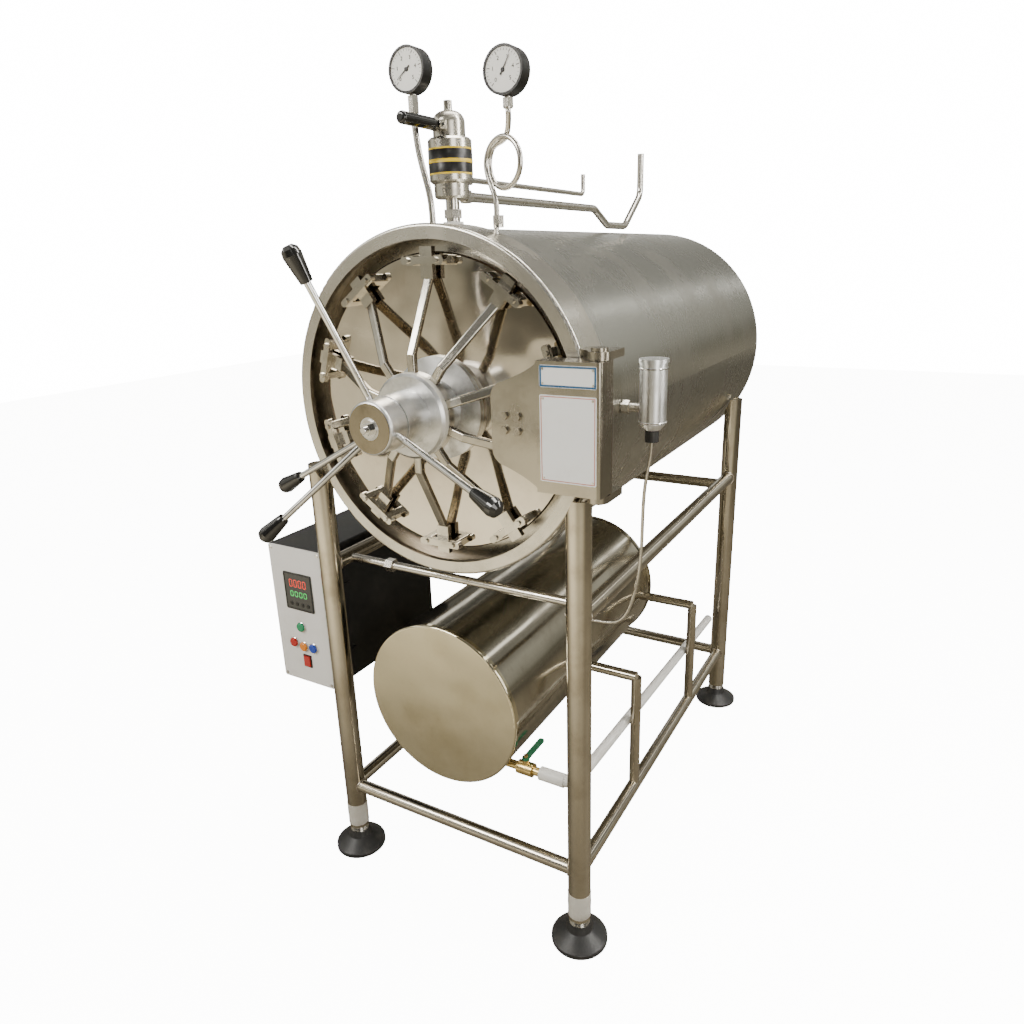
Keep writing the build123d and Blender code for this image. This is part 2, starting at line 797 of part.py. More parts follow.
with BuildPart() as wheel_knobs:
    for rod_index in range(rod_count):
        rod_turn = rod_first_angle + rod_index * 360.0 / rod_count
        rod_start, rod_end = rod_line(rod_turn, wheel_hub_r - 4, rod_out, rod_reach, rod_lean_out)
        knob_dir = (rod_end - rod_start).normalized()
        knob_side = Vector(0, 1, 0).cross(knob_dir).normalized()
        knob_plane = Plane(origin=rod_end, x_dir=knob_side, z_dir=knob_side.cross(knob_dir))
        with BuildSketch(knob_plane):
            with BuildLine():
                Polyline(*knob_profile_points(), close=True)
            make_face()
        revolve(axis=Axis(rod_end, knob_dir))
wheel_knobs.part.label = "wheel_knobs"
export_step(wheel_knobs.part, "parts/wheel_knobs.step")

# Straight pull handle on the housing's sleeve
pull_start, pull_end = rod_line(pull_angle, sleeve_r - 1, pull_out, pull_reach, pull_out)
with BuildPart() as pull_rod:
    with BuildSketch(Plane(origin=pull_start, z_dir=pull_end - pull_start)):
        Circle(rod_r)
    extrude(amount=(pull_end - pull_start).length)
    with BuildSketch(facing(collar_front_y)):
        Circle(sleeve_r + sheet_gap)
    extrude(amount=collar_front_y - sleeve_front_y, mode=Mode.SUBTRACT)
pull_rod.part.label = "pull_rod"
export_step(pull_rod.part, "parts/pull_rod.step")

with BuildPart() as pull_knob:
    knob_dir = (pull_end - pull_start).normalized()
    knob_side = Vector(0, 1, 0).cross(knob_dir).normalized()
    with BuildSketch(Plane(origin=pull_end, x_dir=knob_side, z_dir=knob_side.cross(knob_dir))):
        with BuildLine():
            Polyline(*knob_profile_points(), close=True)
        make_face()
    revolve(axis=Axis(pull_end, knob_dir))
pull_knob.part.label = "pull_knob"
export_step(pull_knob.part, "parts/pull_knob.step")

# Blank sign plates on the hinge arm box
sign_top_z = arm_box_mid_z + arm_box_half - sign_gap / 2
with BuildPart() as sign_plates:
    with BuildSketch(facing(arm_box_front, (tongue_right_x + arm_box_right) / 2, sign_top_z)):
        with Locations((0, -sign_small_height / 2)):
            RectangleRounded(sign_width, sign_small_height, sign_corner)
        with Locations((0, -sign_small_height - sign_gap - sign_large_height / 2)):
            RectangleRounded(sign_width, sign_large_height, sign_corner)
    extrude(amount=sign_wall)
sign_plates.part.label = "sign_plates"
export_step(sign_plates.part, "parts/sign_plates.step")

# Control box body: a deep closed case beside the left front post
box_right_x = axis_x - post_spread - post_r - box_strap
box_left_x = box_right_x - box_width
box_mid_x = (box_left_x + box_right_x) / 2
box_mid_z = box_bottom_z + box_height / 2
with BuildPart() as control_box:
    with BuildSketch(facing(box_front_y + panel_wall, box_mid_x, box_mid_z)):
        RectangleRounded(box_width, box_height, box_corner)
    extrude(amount=-(box_depth - panel_wall))
    with BuildSketch(facing(box_front_y + panel_wall + box_sheet, box_mid_x, box_mid_z)):
        Rectangle(box_width - 2 * box_sheet, box_height - 2 * box_sheet)
    extrude(amount=-(box_depth - panel_wall - 2 * box_sheet), mode=Mode.SUBTRACT)
    # Two brackets that hold the box on the post
    for bracket_z in (box_bottom_z + bracket_low, box_bottom_z + bracket_high):
        with BuildSketch(Plane.XY.offset(bracket_z)):
            with Locations((box_right_x, post_front_y + bracket_ahead)):
                Rectangle(box_strap + post_r / 2, bracket_length, align=(Align.MIN, Align.CENTER))
            with Locations((axis_x - post_spread, post_front_y)):
                Circle(post_r + sheet_gap, mode=Mode.SUBTRACT)
        extrude(amount=bracket_height)
    with BuildSketch(Plane.YZ.offset(box_right_x + box_strap)):
        with Locations((post_front_y + post_r + bracket_length, box_mid_z)):
            Rectangle(2 * bracket_length, box_height)
    extrude(amount=post_r, mode=Mode.SUBTRACT)
control_box.part.label = "control_box"
export_step(control_box.part, "parts/control_box.step")

with BuildPart() as control_panel:
    with BuildSketch(facing(box_front_y + panel_wall, box_mid_x, box_mid_z)):
        RectangleRounded(box_width - 2, box_height - 2, box_corner)
    extrude(amount=panel_wall)
control_panel.part.label = "control_panel"
export_step(control_panel.part, "parts/control_panel.step")

with BuildPart() as panel_display:
    with BuildSketch(facing(box_front_y, box_mid_x + 2, box_mid_z + 68)):
        RectangleRounded(display_width, display_height, 4)
    extrude(amount=2)
panel_display.part.label = "panel_display"
export_step(panel_display.part, "parts/panel_display.step")

lamp_places = [(-4, -28), (-34, -76), (-2, -82), (30, -80)]
with BuildPart() as panel_lamps:
    for lamp_dx, lamp_dz in lamp_places:
        with BuildSketch(facing(box_front_y, box_mid_x + lamp_dx, box_mid_z + lamp_dz)):
            Circle(lamp_r)
        extrude(amount=lamp_stand)
    fillet(panel_lamps.edges().group_by(Axis.Y)[0], radius=4)
panel_lamps.part.label = "panel_lamps"
export_step(panel_lamps.part, "parts/panel_lamps.step")

with BuildPart() as rocker_switch:
    with BuildSketch(facing(box_front_y, box_mid_x + 4, box_mid_z - 122)):
        RectangleRounded(20, 28, 2)
    extrude(amount=5)
rocker_switch.part.label = "rocker_switch"
export_step(rocker_switch.part, "parts/rocker_switch.step")

# Steam generator: shell with a lid at each end
with BuildPart() as boiler_shell:
    with BuildSketch(facing(boiler_front_y + boiler_lid, boiler_x, boiler_z)):
        Circle(boiler_r - boiler_wall)
        Circle(boiler_r - 2 * boiler_wall, mode=Mode.SUBTRACT)
    extrude(amount=-(boiler_length - 2 * boiler_lid))
boiler_shell.part.label = "boiler_shell"
export_step(boiler_shell.part, "parts/boiler_shell.step")

for lid_name, lid_y, lid_sign in (
    ("boiler_front", boiler_front_y, 1),
    ("boiler_rear", boiler_front_y + boiler_length, -1),
):
    with BuildPart() as boiler_end:
        with BuildSketch(facing(lid_y, boiler_x, boiler_z)):
            Circle(boiler_r)
        extrude(amount=-lid_sign * boiler_lid)
        outer_edges = boiler_end.edges().group_by(Axis.Y)
        fillet(outer_edges[0] if lid_sign > 0 else outer_edges[-1], radius=5)
        with BuildSketch(facing(lid_y + lid_sign * boiler_lid, boiler_x, boiler_z)):
            Circle(boiler_r - boiler_wall + sheet_gap)
        extrude(amount=lid_sign * (boiler_lid - boiler_wall), mode=Mode.SUBTRACT)
    boiler_end.part.label = lid_name
    export_step(boiler_end.part, f"parts/{lid_name}.step")

# Boiler stand: two cross bars on short posts that stand on the lower rails
with BuildPart() as boiler_stand:
    for stand_y in (stand_front_y, stand_rear_y):
        for post_dx in (-post_spread, post_spread):
            with BuildSketch(Plane.XY.offset(low_rail_z)):
                with Locations((axis_x + post_dx, stand_y)):
                    Circle(stand_half)
            extrude(amount=stand_top_z - low_rail_z)
        with BuildSketch(Plane.YZ.offset(axis_x - post_spread)):
            with Locations((stand_y, stand_top_z)):
                Circle(stand_half)
        extrude(amount=2 * post_spread)
    for post_dx in (-post_spread, post_spread):
        with BuildSketch(facing(post_front_y, axis_x + post_dx, low_rail_z)):
            Circle(rail_r + sheet_gap)
        extrude(amount=-post_pitch_y, mode=Mode.SUBTRACT)
    with BuildSketch(facing(boiler_front_y, boiler_x, boiler_z)):
        Circle(boiler_r - boiler_wall + sheet_gap)
    extrude(amount=-boiler_length, mode=Mode.SUBTRACT)
boiler_stand.part.label = "boiler_stand"
export_step(boiler_stand.part, "parts/boiler_stand.step")

# Steam trap: canister, cap, neck, stub to the jacket and thin drain tube
with BuildPart() as trap_body:
    with BuildSketch(upright(trap_x, trap_y)):
        with BuildLine():
            Polyline(
                (0, trap_low_z - trap_cone),
                (trap_neck_r + 3, trap_low_z - trap_cone),
                (trap_r, trap_low_z),
                (trap_r, trap_high_z),
                (trap_cap_r, trap_high_z),
                (trap_cap_r, trap_high_z + trap_cap),
                (0, trap_high_z + trap_cap),
                close=True,
            )
        make_face()
    revolve(axis=Axis((trap_x, trap_y, 0), (0, 0, 1)))
trap_body.part.label = "trap_body"
export_step(trap_body.part, "parts/trap_body.step")

with BuildPart() as trap_neck_piece:
    with BuildSketch(Plane.XY.offset(trap_low_z - trap_cone - trap_neck)):
        with Locations((trap_x, trap_y)):
            Circle(trap_neck_r)
    extrude(amount=trap_neck)
trap_neck_piece.part.label = "trap_neck"
export_step(trap_neck_piece.part, "parts/trap_neck.step")

with BuildPart() as trap_pipes:
    with BuildSketch(Plane(origin=(axis_x + cover_r - 6, trap_y, axis_z + 2), z_dir=(1, 0, 0))):
        Circle(trap_stub_r)
    extrude(amount=trap_x - axis_x - cover_r + 6)
    with BuildSketch(Plane(origin=(axis_x + cover_r + 2, trap_y, axis_z + 2), z_dir=(1, 0, 0))):
        RegularPolygon(trap_stub_r * 1.5, 6)
    extrude(amount=14)
    with BuildSketch(facing(trap_y - 60)):
        Circle(cover_r + sheet_gap)
    extrude(amount=-120, mode=Mode.SUBTRACT)
    with BuildSketch(Plane.XY.offset(trap_low_z)):
        with Locations((trap_x, trap_y)):
            Circle(trap_r + sheet_gap)
    extrude(amount=trap_high_z - trap_low_z, mode=Mode.SUBTRACT)
    trap_tube_top = trap_low_z - trap_cone - trap_neck
    with BuildLine() as trap_path:
        tube_shape = [(0, 0), (0.05, 0.19), (0.085, 0.58), (0.175, 0.84), (0.33, 0.97), (0.58, 0.997), (1, 1)]
        Spline(
            *[
                (trap_x - across * trap_tube_reach, trap_y, trap_tube_top - down * trap_tube_drop)
                for across, down in tube_shape
            ],
            tangents=((0, 0, -1), (-1, 0, 0)),
        )
    with BuildSketch(Plane(origin=(trap_x, trap_y, trap_tube_top), z_dir=(0, 0, -1))) as trap_bore:
        Circle(trap_tube_r)
    sweep(trap_bore.sketch, path=trap_path.line)
trap_pipes.part.label = "trap_pipes"
export_step(trap_pipes.part, "parts/trap_pipes.step")

# Safety valve: nozzle, body, bell and cap
with BuildPart() as valve_nozzle:
    with BuildSketch(Plane.XY.offset(axis_z + cover_r - 10)):
        with Locations((axis_x, valve_y)):
            Circle(valve_nozzle_r)
    extrude(amount=valve_nozzle_top - axis_z - cover_r + 10)
    with BuildSketch(Plane.XY.offset(axis_z + cover_r + 18)):
        with Locations((axis_x, valve_y)):
            RegularPolygon(valve_nozzle_r * 1.4, 6)
    extrude(amount=16)
    with BuildSketch(facing(valve_y - 60)):
        Circle(cover_r + sheet_gap)
    extrude(amount=-120, mode=Mode.SUBTRACT)
valve_nozzle.part.label = "valve_nozzle"
export_step(valve_nozzle.part, "parts/valve_nozzle.step")

with BuildPart() as valve_body:
    with BuildSketch(upright(axis_x, valve_y)):
        with BuildLine():
            Polyline(
                (0, valve_nozzle_top),
                (valve_low_r - 4, valve_nozzle_top),
                (valve_low_r, valve_nozzle_top + 4),
                (valve_low_r, valve_low_top - 3),
                (valve_body_r - 3, valve_low_top),
                (valve_body_r, valve_low_top + 3),
                (valve_body_r, valve_body_top - 4),
                (valve_body_r - 4, valve_body_top),
                (0, valve_body_top),
                close=True,
            )
        make_face()
    revolve(axis=Axis((axis_x, valve_y, 0), (0, 0, 1)))
valve_body.part.label = "valve_body"
export_step(valve_body.part, "parts/valve_body.step")

with BuildPart() as valve_bell:
    with BuildSketch(upright(axis_x, valve_y)):
        with BuildLine():
            Line((0, valve_body_top), (valve_bell_r, valve_body_top))
            Line((valve_bell_r, valve_body_top), (valve_bell_r, valve_body_top + 26))
            ThreePointArc(
                (valve_bell_r, valve_body_top + 26),
                (valve_bell_r * 0.8, valve_bell_top - 6),
                (valve_knob_r + 2, valve_bell_top),
            )
            Line((valve_knob_r + 2, valve_bell_top), (valve_knob_r, valve_bell_top + 3))
            Line((valve_knob_r, valve_bell_top + 3), (valve_knob_r, valve_knob_top))
            Line((valve_knob_r, valve_knob_top), (0, valve_knob_top))
            Line((0, valve_knob_top), (0, valve_body_top))
        make_face()
    revolve(axis=Axis((axis_x, valve_y, 0), (0, 0, 1)))
    for ear_side in (-1, 1):
        ear_x = axis_x + ear_side * (lever_r + lever_gap + lever_ear / 2)
        with BuildSketch(Plane.YZ.offset(ear_x)):
            with Locations(((valve_y + lever_pivot_y) / 2, lever_pivot_z)):
                Rectangle(valve_y - lever_pivot_y, 16)
            with Locations((lever_pivot_y, lever_pivot_z)):
                Circle(8)
        extrude(amount=lever_ear / 2, both=True)
    with BuildSketch(Plane.YZ.offset(axis_x)):
        with Locations((lever_pivot_y, lever_pivot_z)):
            Circle(lever_pin_r + shaft_fit)
    extrude(amount=3 * lever_r, both=True, mode=Mode.SUBTRACT)
valve_bell.part.label = "valve_bell"
export_step(valve_bell.part, "parts/valve_bell.step")

# Test lever of the safety valve, pointing to the front
with BuildPart() as valve_lever:
    with BuildSketch(facing(lever_pivot_y - 14, axis_x, lever_pivot_z)):
        Circle(lever_r)
    extrude(amount=lever_length - 22)
    fillet(valve_lever.edges().group_by(Axis.Y)[0], radius=6)
    with BuildSketch(Plane.YZ.offset(axis_x)):
        with Locations((lever_pivot_y, lever_pivot_z)):
            Circle(7)
        with Locations((lever_pivot_y - 10, lever_pivot_z)):
            Rectangle(20, 12)
    extrude(amount=lever_r - 1, both=True)
    with BuildSketch(Plane.YZ.offset(axis_x)):
        with Locations((lever_pivot_y, lever_pivot_z)):
            Circle(lever_pin_r)
    extrude(amount=lever_r + lever_gap + lever_ear + 1, both=True)
valve_lever.part.label = "valve_lever"
export_step(valve_lever.part, "parts/valve_lever.step")


# Gauges: black cases, dials and the pipes that carry them
gauge_places = [
    (gauge_left_x, gauge_left_y, gauge_left_z),
    (gauge_right_x, gauge_right_y, gauge_right_z),
]
with BuildPart() as gauge_cases:
    for gauge_x, gauge_y, gauge_z in gauge_places:
        with BuildSketch(side_cut(gauge_x, gauge_z)) as case_profile:
            with BuildLine():
                Polyline(
                    (gauge_y - gauge_depth / 2 + gauge_sink, 0),
                    (gauge_y - gauge_depth / 2 + gauge_sink, gauge_r - gauge_rim),
                    (gauge_y - gauge_depth / 2, gauge_r - gauge_rim),
                    (gauge_y - gauge_depth / 2, gauge_r),
                    (gauge_y + gauge_depth / 2 - gauge_bevel, gauge_r),
                    (gauge_y + gauge_depth / 2, gauge_r - gauge_bevel),
                    (gauge_y + gauge_depth / 2, 0),
                    close=True,
                )
            make_face()
        revolve(axis=Axis((gauge_x, gauge_y, gauge_z), (0, 1, 0)))
gauge_cases.part.label = "gauge_cases"
export_step(gauge_cases.part, "parts/gauge_cases.step")

with BuildPart() as gauge_dials:
    for gauge_x, gauge_y, gauge_z in gauge_places:
        with BuildSketch(facing(gauge_y - gauge_depth / 2 + gauge_sink, gauge_x, gauge_z)):
            Circle(gauge_r - gauge_rim - sheet_gap)
        extrude(amount=2)
gauge_dials.part.label = "gauge_dials"
export_step(gauge_dials.part, "parts/gauge_dials.step")

gauge_left_foot = gauge_left_z - gauge_r
with BuildPart() as gauge_stem:
    with BuildLine():
        Spline(
            (axis_x - 2, gauge_left_y, axis_z + ring_r - 4),
            (axis_x - 4, gauge_left_y, axis_z + ring_r + 40),
            (gauge_left_x + 7, gauge_left_y, axis_z + ring_r + 120),
            (gauge_left_x, gauge_left_y, gauge_left_foot - 40),
            (gauge_left_x, gauge_left_y, gauge_left_foot),
            tangents=((0, 0, 1), (0, 0, 1)),
        )
    with BuildSketch(Plane.XY.offset(axis_z + ring_r - 4)):
        with Locations((axis_x - 2, gauge_left_y)):
            Circle(gauge_stem_r)
    sweep()
    with BuildSketch(Plane.XY.offset(gauge_left_foot - 30)):
        with Locations((gauge_left_x, gauge_left_y)):
            RegularPolygon(gauge_nut_r * 1.1, 6)
    extrude(amount=26)
    with BuildSketch(facing(gauge_left_y - gauge_r, gauge_left_x, gauge_left_z)):
        Circle(gauge_r + sheet_gap)
    extrude(amount=-2 * gauge_r, mode=Mode.SUBTRACT)
    with BuildSketch(facing(ring_front_y)):
        Circle(ring_r + sheet_gap)
    extrude(amount=-ring_depth, mode=Mode.SUBTRACT)
gauge_stem.part.label = "gauge_stem"
export_step(gauge_stem.part, "parts/gauge_stem.step")

# Pigtail siphon: one full coil between the ring and the right-hand gauge
siphon_foot_z = top_of_vessel(siphon_x, ring_r)
coil_mid = Vector((siphon_x + gauge_right_x) / 2 + 2, siphon_y, vessel_top_z + siphon_loop_height)
coil_across = Vector(math.cos(math.radians(siphon_loop_turn)), math.sin(math.radians(siphon_loop_turn)), 0)
coil_up = Vector(0, 0, siphon_loop_r)
coil_depth = Vector(0, siphon_loop_pitch, 0)


def coil_point(turn):
    """Point of the coil after turning by this many degrees from its left side, over the top."""
    angle = math.radians(180 - turn)
    flat = coil_mid + coil_across * (siphon_loop_r * math.cos(angle)) + coil_up * math.sin(angle)
    return flat + coil_depth * (turn / 450 - 0.5)


with BuildPart() as siphon_tube:
    with BuildLine():
        coil_points = [coil_point(step) for step in range(0, 451, 45)]
        Spline(
            (siphon_x, siphon_y, siphon_foot_z - 2),
            (siphon_x, siphon_y, siphon_foot_z + 60),
            *coil_points,
            (gauge_right_x, gauge_right_y, gauge_right_z - gauge_r - 24),
            (gauge_right_x, gauge_right_y, gauge_right_z - gauge_r),
            tangents=((0, 0, 1), (0, 0, 1)),
        )
    with BuildSketch(Plane.XY.offset(siphon_foot_z - 2)):
        with Locations((siphon_x, siphon_y)):
            Circle(siphon_r)
    sweep()
    with BuildSketch(facing(gauge_right_y - gauge_r, gauge_right_x, gauge_right_z)):
        Circle(gauge_r + sheet_gap)
    extrude(amount=-2 * gauge_r, mode=Mode.SUBTRACT)
    with BuildSketch(facing(ring_front_y)):
        Circle(ring_r + sheet_gap)
    extrude(amount=-ring_depth, mode=Mode.SUBTRACT)
siphon_tube.part.label = "siphon_tube"
export_step(siphon_tube.part, "parts/siphon_tube.step")

# Pipes behind the safety valve: the header with its dip and vent riser, and the thin pipe over it
dip_z = vessel_top_z + header_r + dip_clear
with BuildPart() as top_pipes:
    with BuildLine():
        FilletPolyline(
            (axis_x, valve_y, header_z),
            (axis_x, dip_start_y, header_z),
            (axis_x, dip_low_y, dip_z),
            (axis_x, dip_end_y, dip_z),
            (axis_x, vent_far_y, header_z + vent_knee_height),
            (axis_x, vent_far_y, vent_top_z),
            radius=header_bend_r,
        )
    with BuildSketch(facing(valve_y, axis_x, header_z)):
        Circle(header_r)
    sweep()
    with BuildSketch(Plane.XY.offset(valve_nozzle_top)):
        with Locations((axis_x, valve_y)):
            Circle(valve_low_r + sheet_gap)
    extrude(amount=valve_low_r, both=True, mode=Mode.SUBTRACT)
    with BuildLine() as thin_path:
        FilletPolyline(
            (axis_x, valve_y + valve_body_r + sheet_gap, thin_z),
            (axis_x, stub_y, thin_z),
            (axis_x, stub_y, stub_top_z),
            radius=thin_bend_r,
        )
    with BuildSketch(facing(valve_y + valve_body_r + sheet_gap, axis_x, thin_z)) as thin_section:
        Circle(thin_r)
    sweep(thin_section.sketch, path=thin_path.line)
    # Union nuts behind the valve
    with BuildSketch(facing(valve_y + valve_low_r + header_nut / 3, axis_x, header_z)):
        RegularPolygon(header_nut_r, 6)
    extrude(amount=-header_nut)
    with BuildSketch(facing(valve_y + valve_body_r + header_nut / 3, axis_x, thin_z)):
        RegularPolygon(2 * thin_r, 6)
    extrude(amount=-header_nut)
top_pipes.part.label = "top_pipes"
export_step(top_pipes.part, "parts/top_pipes.step")

# Steam feed pipe under the ring
with BuildPart() as feed_pipe:
    with BuildSketch(Plane.YZ.offset(axis_x - post_spread)):
        with Locations((feed_y, feed_z)):
            Circle(feed_r)
    extrude(amount=2 * post_spread)
    with BuildSketch(Plane.YZ.offset(axis_x - feed_left)):
        with Locations((feed_y, feed_z)):
            RegularPolygon(feed_r * 1.6, 6)
    extrude(amount=20)
    for post_dx in (-post_spread, post_spread):
        with BuildSketch(facing(post_front_y, axis_x + post_dx, top_rail_z)):
            Circle(top_rail_r + sheet_gap)
        extrude(amount=-4 * feed_y + 4 * post_front_y, mode=Mode.SUBTRACT)
feed_pipe.part.label = "feed_pipe"
export_step(feed_pipe.part, "parts/feed_pipe.step")

# Drain pipe and valve of the steam generator, with a quarter-turn lever on top
with BuildPart() as drain_valve:
    with BuildSketch(Plane.YZ.offset(boiler_x)):
        with Locations((drain_y, drain_z)):
            Circle(drain_r)
    extrude(amount=axis_x + drain_end - boiler_x)
    with BuildSketch(Plane.YZ.offset(drain_x - drain_body / 2)):
        with Locations((drain_y, drain_z)):
            Circle(drain_body_r)
    extrude(amount=drain_body)
    with BuildSketch(Plane.XY.offset(drain_z)):
        with Locations((drain_x, drain_y)):
            Circle(drain_stem_r)
    extrude(amount=drain_lever_z - drain_z + drain_lever_thick + 6)
    with BuildSketch(Plane.XY.offset(drain_z)):
        with Locations((drain_x, drain_y)):
            Circle(drain_stem_r + 3)
    extrude(amount=drain_lever_z - drain_z - seat_gap)
    with BuildSketch(facing(boiler_front_y, boiler_x, boiler_z)):
        Circle(boiler_r - boiler_wall + sheet_gap)
    extrude(amount=-boiler_length, mode=Mode.SUBTRACT)
drain_valve.part.label = "drain_valve"
export_step(drain_valve.part, "parts/drain_valve.step")

with BuildPart() as drain_lever:
    with BuildSketch(Plane.XY.offset(drain_lever_z)):
        with Locations((drain_x, drain_y)):
            Circle(drain_stem_r + 4)
        with Locations((drain_x, drain_y + drain_lever_length / 2 - 4)):
            RectangleRounded(14, drain_lever_length, 6)
        with Locations((drain_x, drain_y)):
            Circle(drain_stem_r + shaft_fit, mode=Mode.SUBTRACT)
    extrude(amount=drain_lever_thick)
drain_lever.part.label = "drain_lever"
export_step(drain_lever.part, "parts/drain_lever.step")

# White waste pipe from the drain valve's outlet along the right side to the back
with BuildPart() as waste_pipe:
    with BuildLine():
        FilletPolyline(
            (axis_x + drain_end - waste_socket, drain_y, drain_z),
            (waste_x, drain_y, drain_z),
            (waste_x, waste_end_y, drain_z - waste_fall),
            radius=waste_bend_r,
        )
    with BuildSketch(Plane.YZ.offset(axis_x + drain_end - waste_socket)):
        with Locations((drain_y, drain_z)):
            Circle(waste_r)
            Circle(drain_r + seat_gap, mode=Mode.SUBTRACT)
    sweep()
    with BuildSketch(Plane.YZ.offset(axis_x + drain_end - waste_socket)):
        with Locations((drain_y, drain_z)):
            Circle(waste_socket_r)
            Circle(drain_r + seat_gap, mode=Mode.SUBTRACT)
    extrude(amount=waste_socket)
waste_pipe.part.label = "waste_pipe"
export_step(waste_pipe.part, "parts/waste_pipe.step")
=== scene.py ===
"""Looks of the horizontal autoclave: finishes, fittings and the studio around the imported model."""

import logging
import math
from dataclasses import dataclass, field
from enum import Enum
from typing import ClassVar, Iterable, Optional, Sequence, Union

import bpy
import bmesh
from mathutils import Matrix, Vector

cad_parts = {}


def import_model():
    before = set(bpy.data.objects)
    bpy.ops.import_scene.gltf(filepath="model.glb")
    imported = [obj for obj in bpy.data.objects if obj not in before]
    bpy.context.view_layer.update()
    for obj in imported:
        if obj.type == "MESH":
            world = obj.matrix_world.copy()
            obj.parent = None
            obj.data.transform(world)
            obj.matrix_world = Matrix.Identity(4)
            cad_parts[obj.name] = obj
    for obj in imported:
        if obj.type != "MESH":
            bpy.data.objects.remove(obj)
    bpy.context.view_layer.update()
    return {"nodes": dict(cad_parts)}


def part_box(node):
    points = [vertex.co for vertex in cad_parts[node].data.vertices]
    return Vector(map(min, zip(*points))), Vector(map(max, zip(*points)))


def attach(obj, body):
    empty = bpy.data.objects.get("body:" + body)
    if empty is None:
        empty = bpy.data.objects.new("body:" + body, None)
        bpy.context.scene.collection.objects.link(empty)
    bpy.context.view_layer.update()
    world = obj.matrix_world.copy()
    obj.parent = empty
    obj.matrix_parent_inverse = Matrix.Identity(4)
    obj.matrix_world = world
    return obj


log = logging.getLogger("autoclave")

Colour = tuple[float, float, float]
Point = tuple[float, float, float]
Number = Union[int, float]


# Shader sums

class Signal:
    """A number or vector socket that takes part in Python sums."""

    def __init__(self, recipe: "Recipe", socket: bpy.types.NodeSocket) -> None:
        """Wraps a socket.

        Args:
            recipe: The material recipe that the socket belongs to.
            socket: The output socket whose value is used.
        """
        self.recipe = recipe
        self.socket = socket

    def sum(self, operation: str, other: Union["Signal", Number, None] = None,
            flipped: bool = False, clamp: bool = False) -> "Signal":
        """Adds one Math node.

        Args:
            operation: Name of the Math node's operation.
            other: The second value, where the operation has one.
            flipped: True where the other value comes first.
            clamp: True to keep the result between 0 and 1.

        Returns:
            The result as a new signal.
        """
        first, second = (other, self) if flipped else (self, other)
        values = {0: first}
        if other is not None:
            values[1] = second
        made = self.recipe.node("ShaderNodeMath", {"operation": operation, "use_clamp": clamp}, values)
        return Signal(self.recipe, made.outputs[0])

    def __add__(self, other: Union["Signal", Number]) -> "Signal":
        """Sum."""
        return self.sum("ADD", other)

    __radd__ = __add__

    def __sub__(self, other: Union["Signal", Number]) -> "Signal":
        """Difference."""
        return self.sum("SUBTRACT", other)

    def __rsub__(self, other: Union["Signal", Number]) -> "Signal":
        """Difference with the number first."""
        return self.sum("SUBTRACT", other, flipped=True)

    def __mul__(self, other: Union["Signal", Number]) -> "Signal":
        """Product."""
        return self.sum("MULTIPLY", other)

    __rmul__ = __mul__

    def __truediv__(self, other: Union["Signal", Number]) -> "Signal":
        """Quotient."""
        return self.sum("DIVIDE", other)

    def root(self) -> "Signal":
        """Square root."""
        return self.sum("SQRT")

    def above(self, low: float, high: float) -> "Signal":
        """Smooth step from 0 at low to 1 at high.

        Args:
            low: Value at which the step starts.
            high: Value at which the step ends.

        Returns:
            The step as a new signal.
        """
        made = self.recipe.node("ShaderNodeMapRange", {"interpolation_type": "SMOOTHSTEP"},
                                {0: self, 1: low, 2: high, 3: 0.0, 4: 1.0})
        return Signal(self.recipe, made.outputs[0])


class Grain(Enum):
    """Which way the fine lines of a metal surface run."""

    EVEN = "even"
    ALONG_Y = "y"
    ALONG_Z = "z"
    TURNED = "turned"


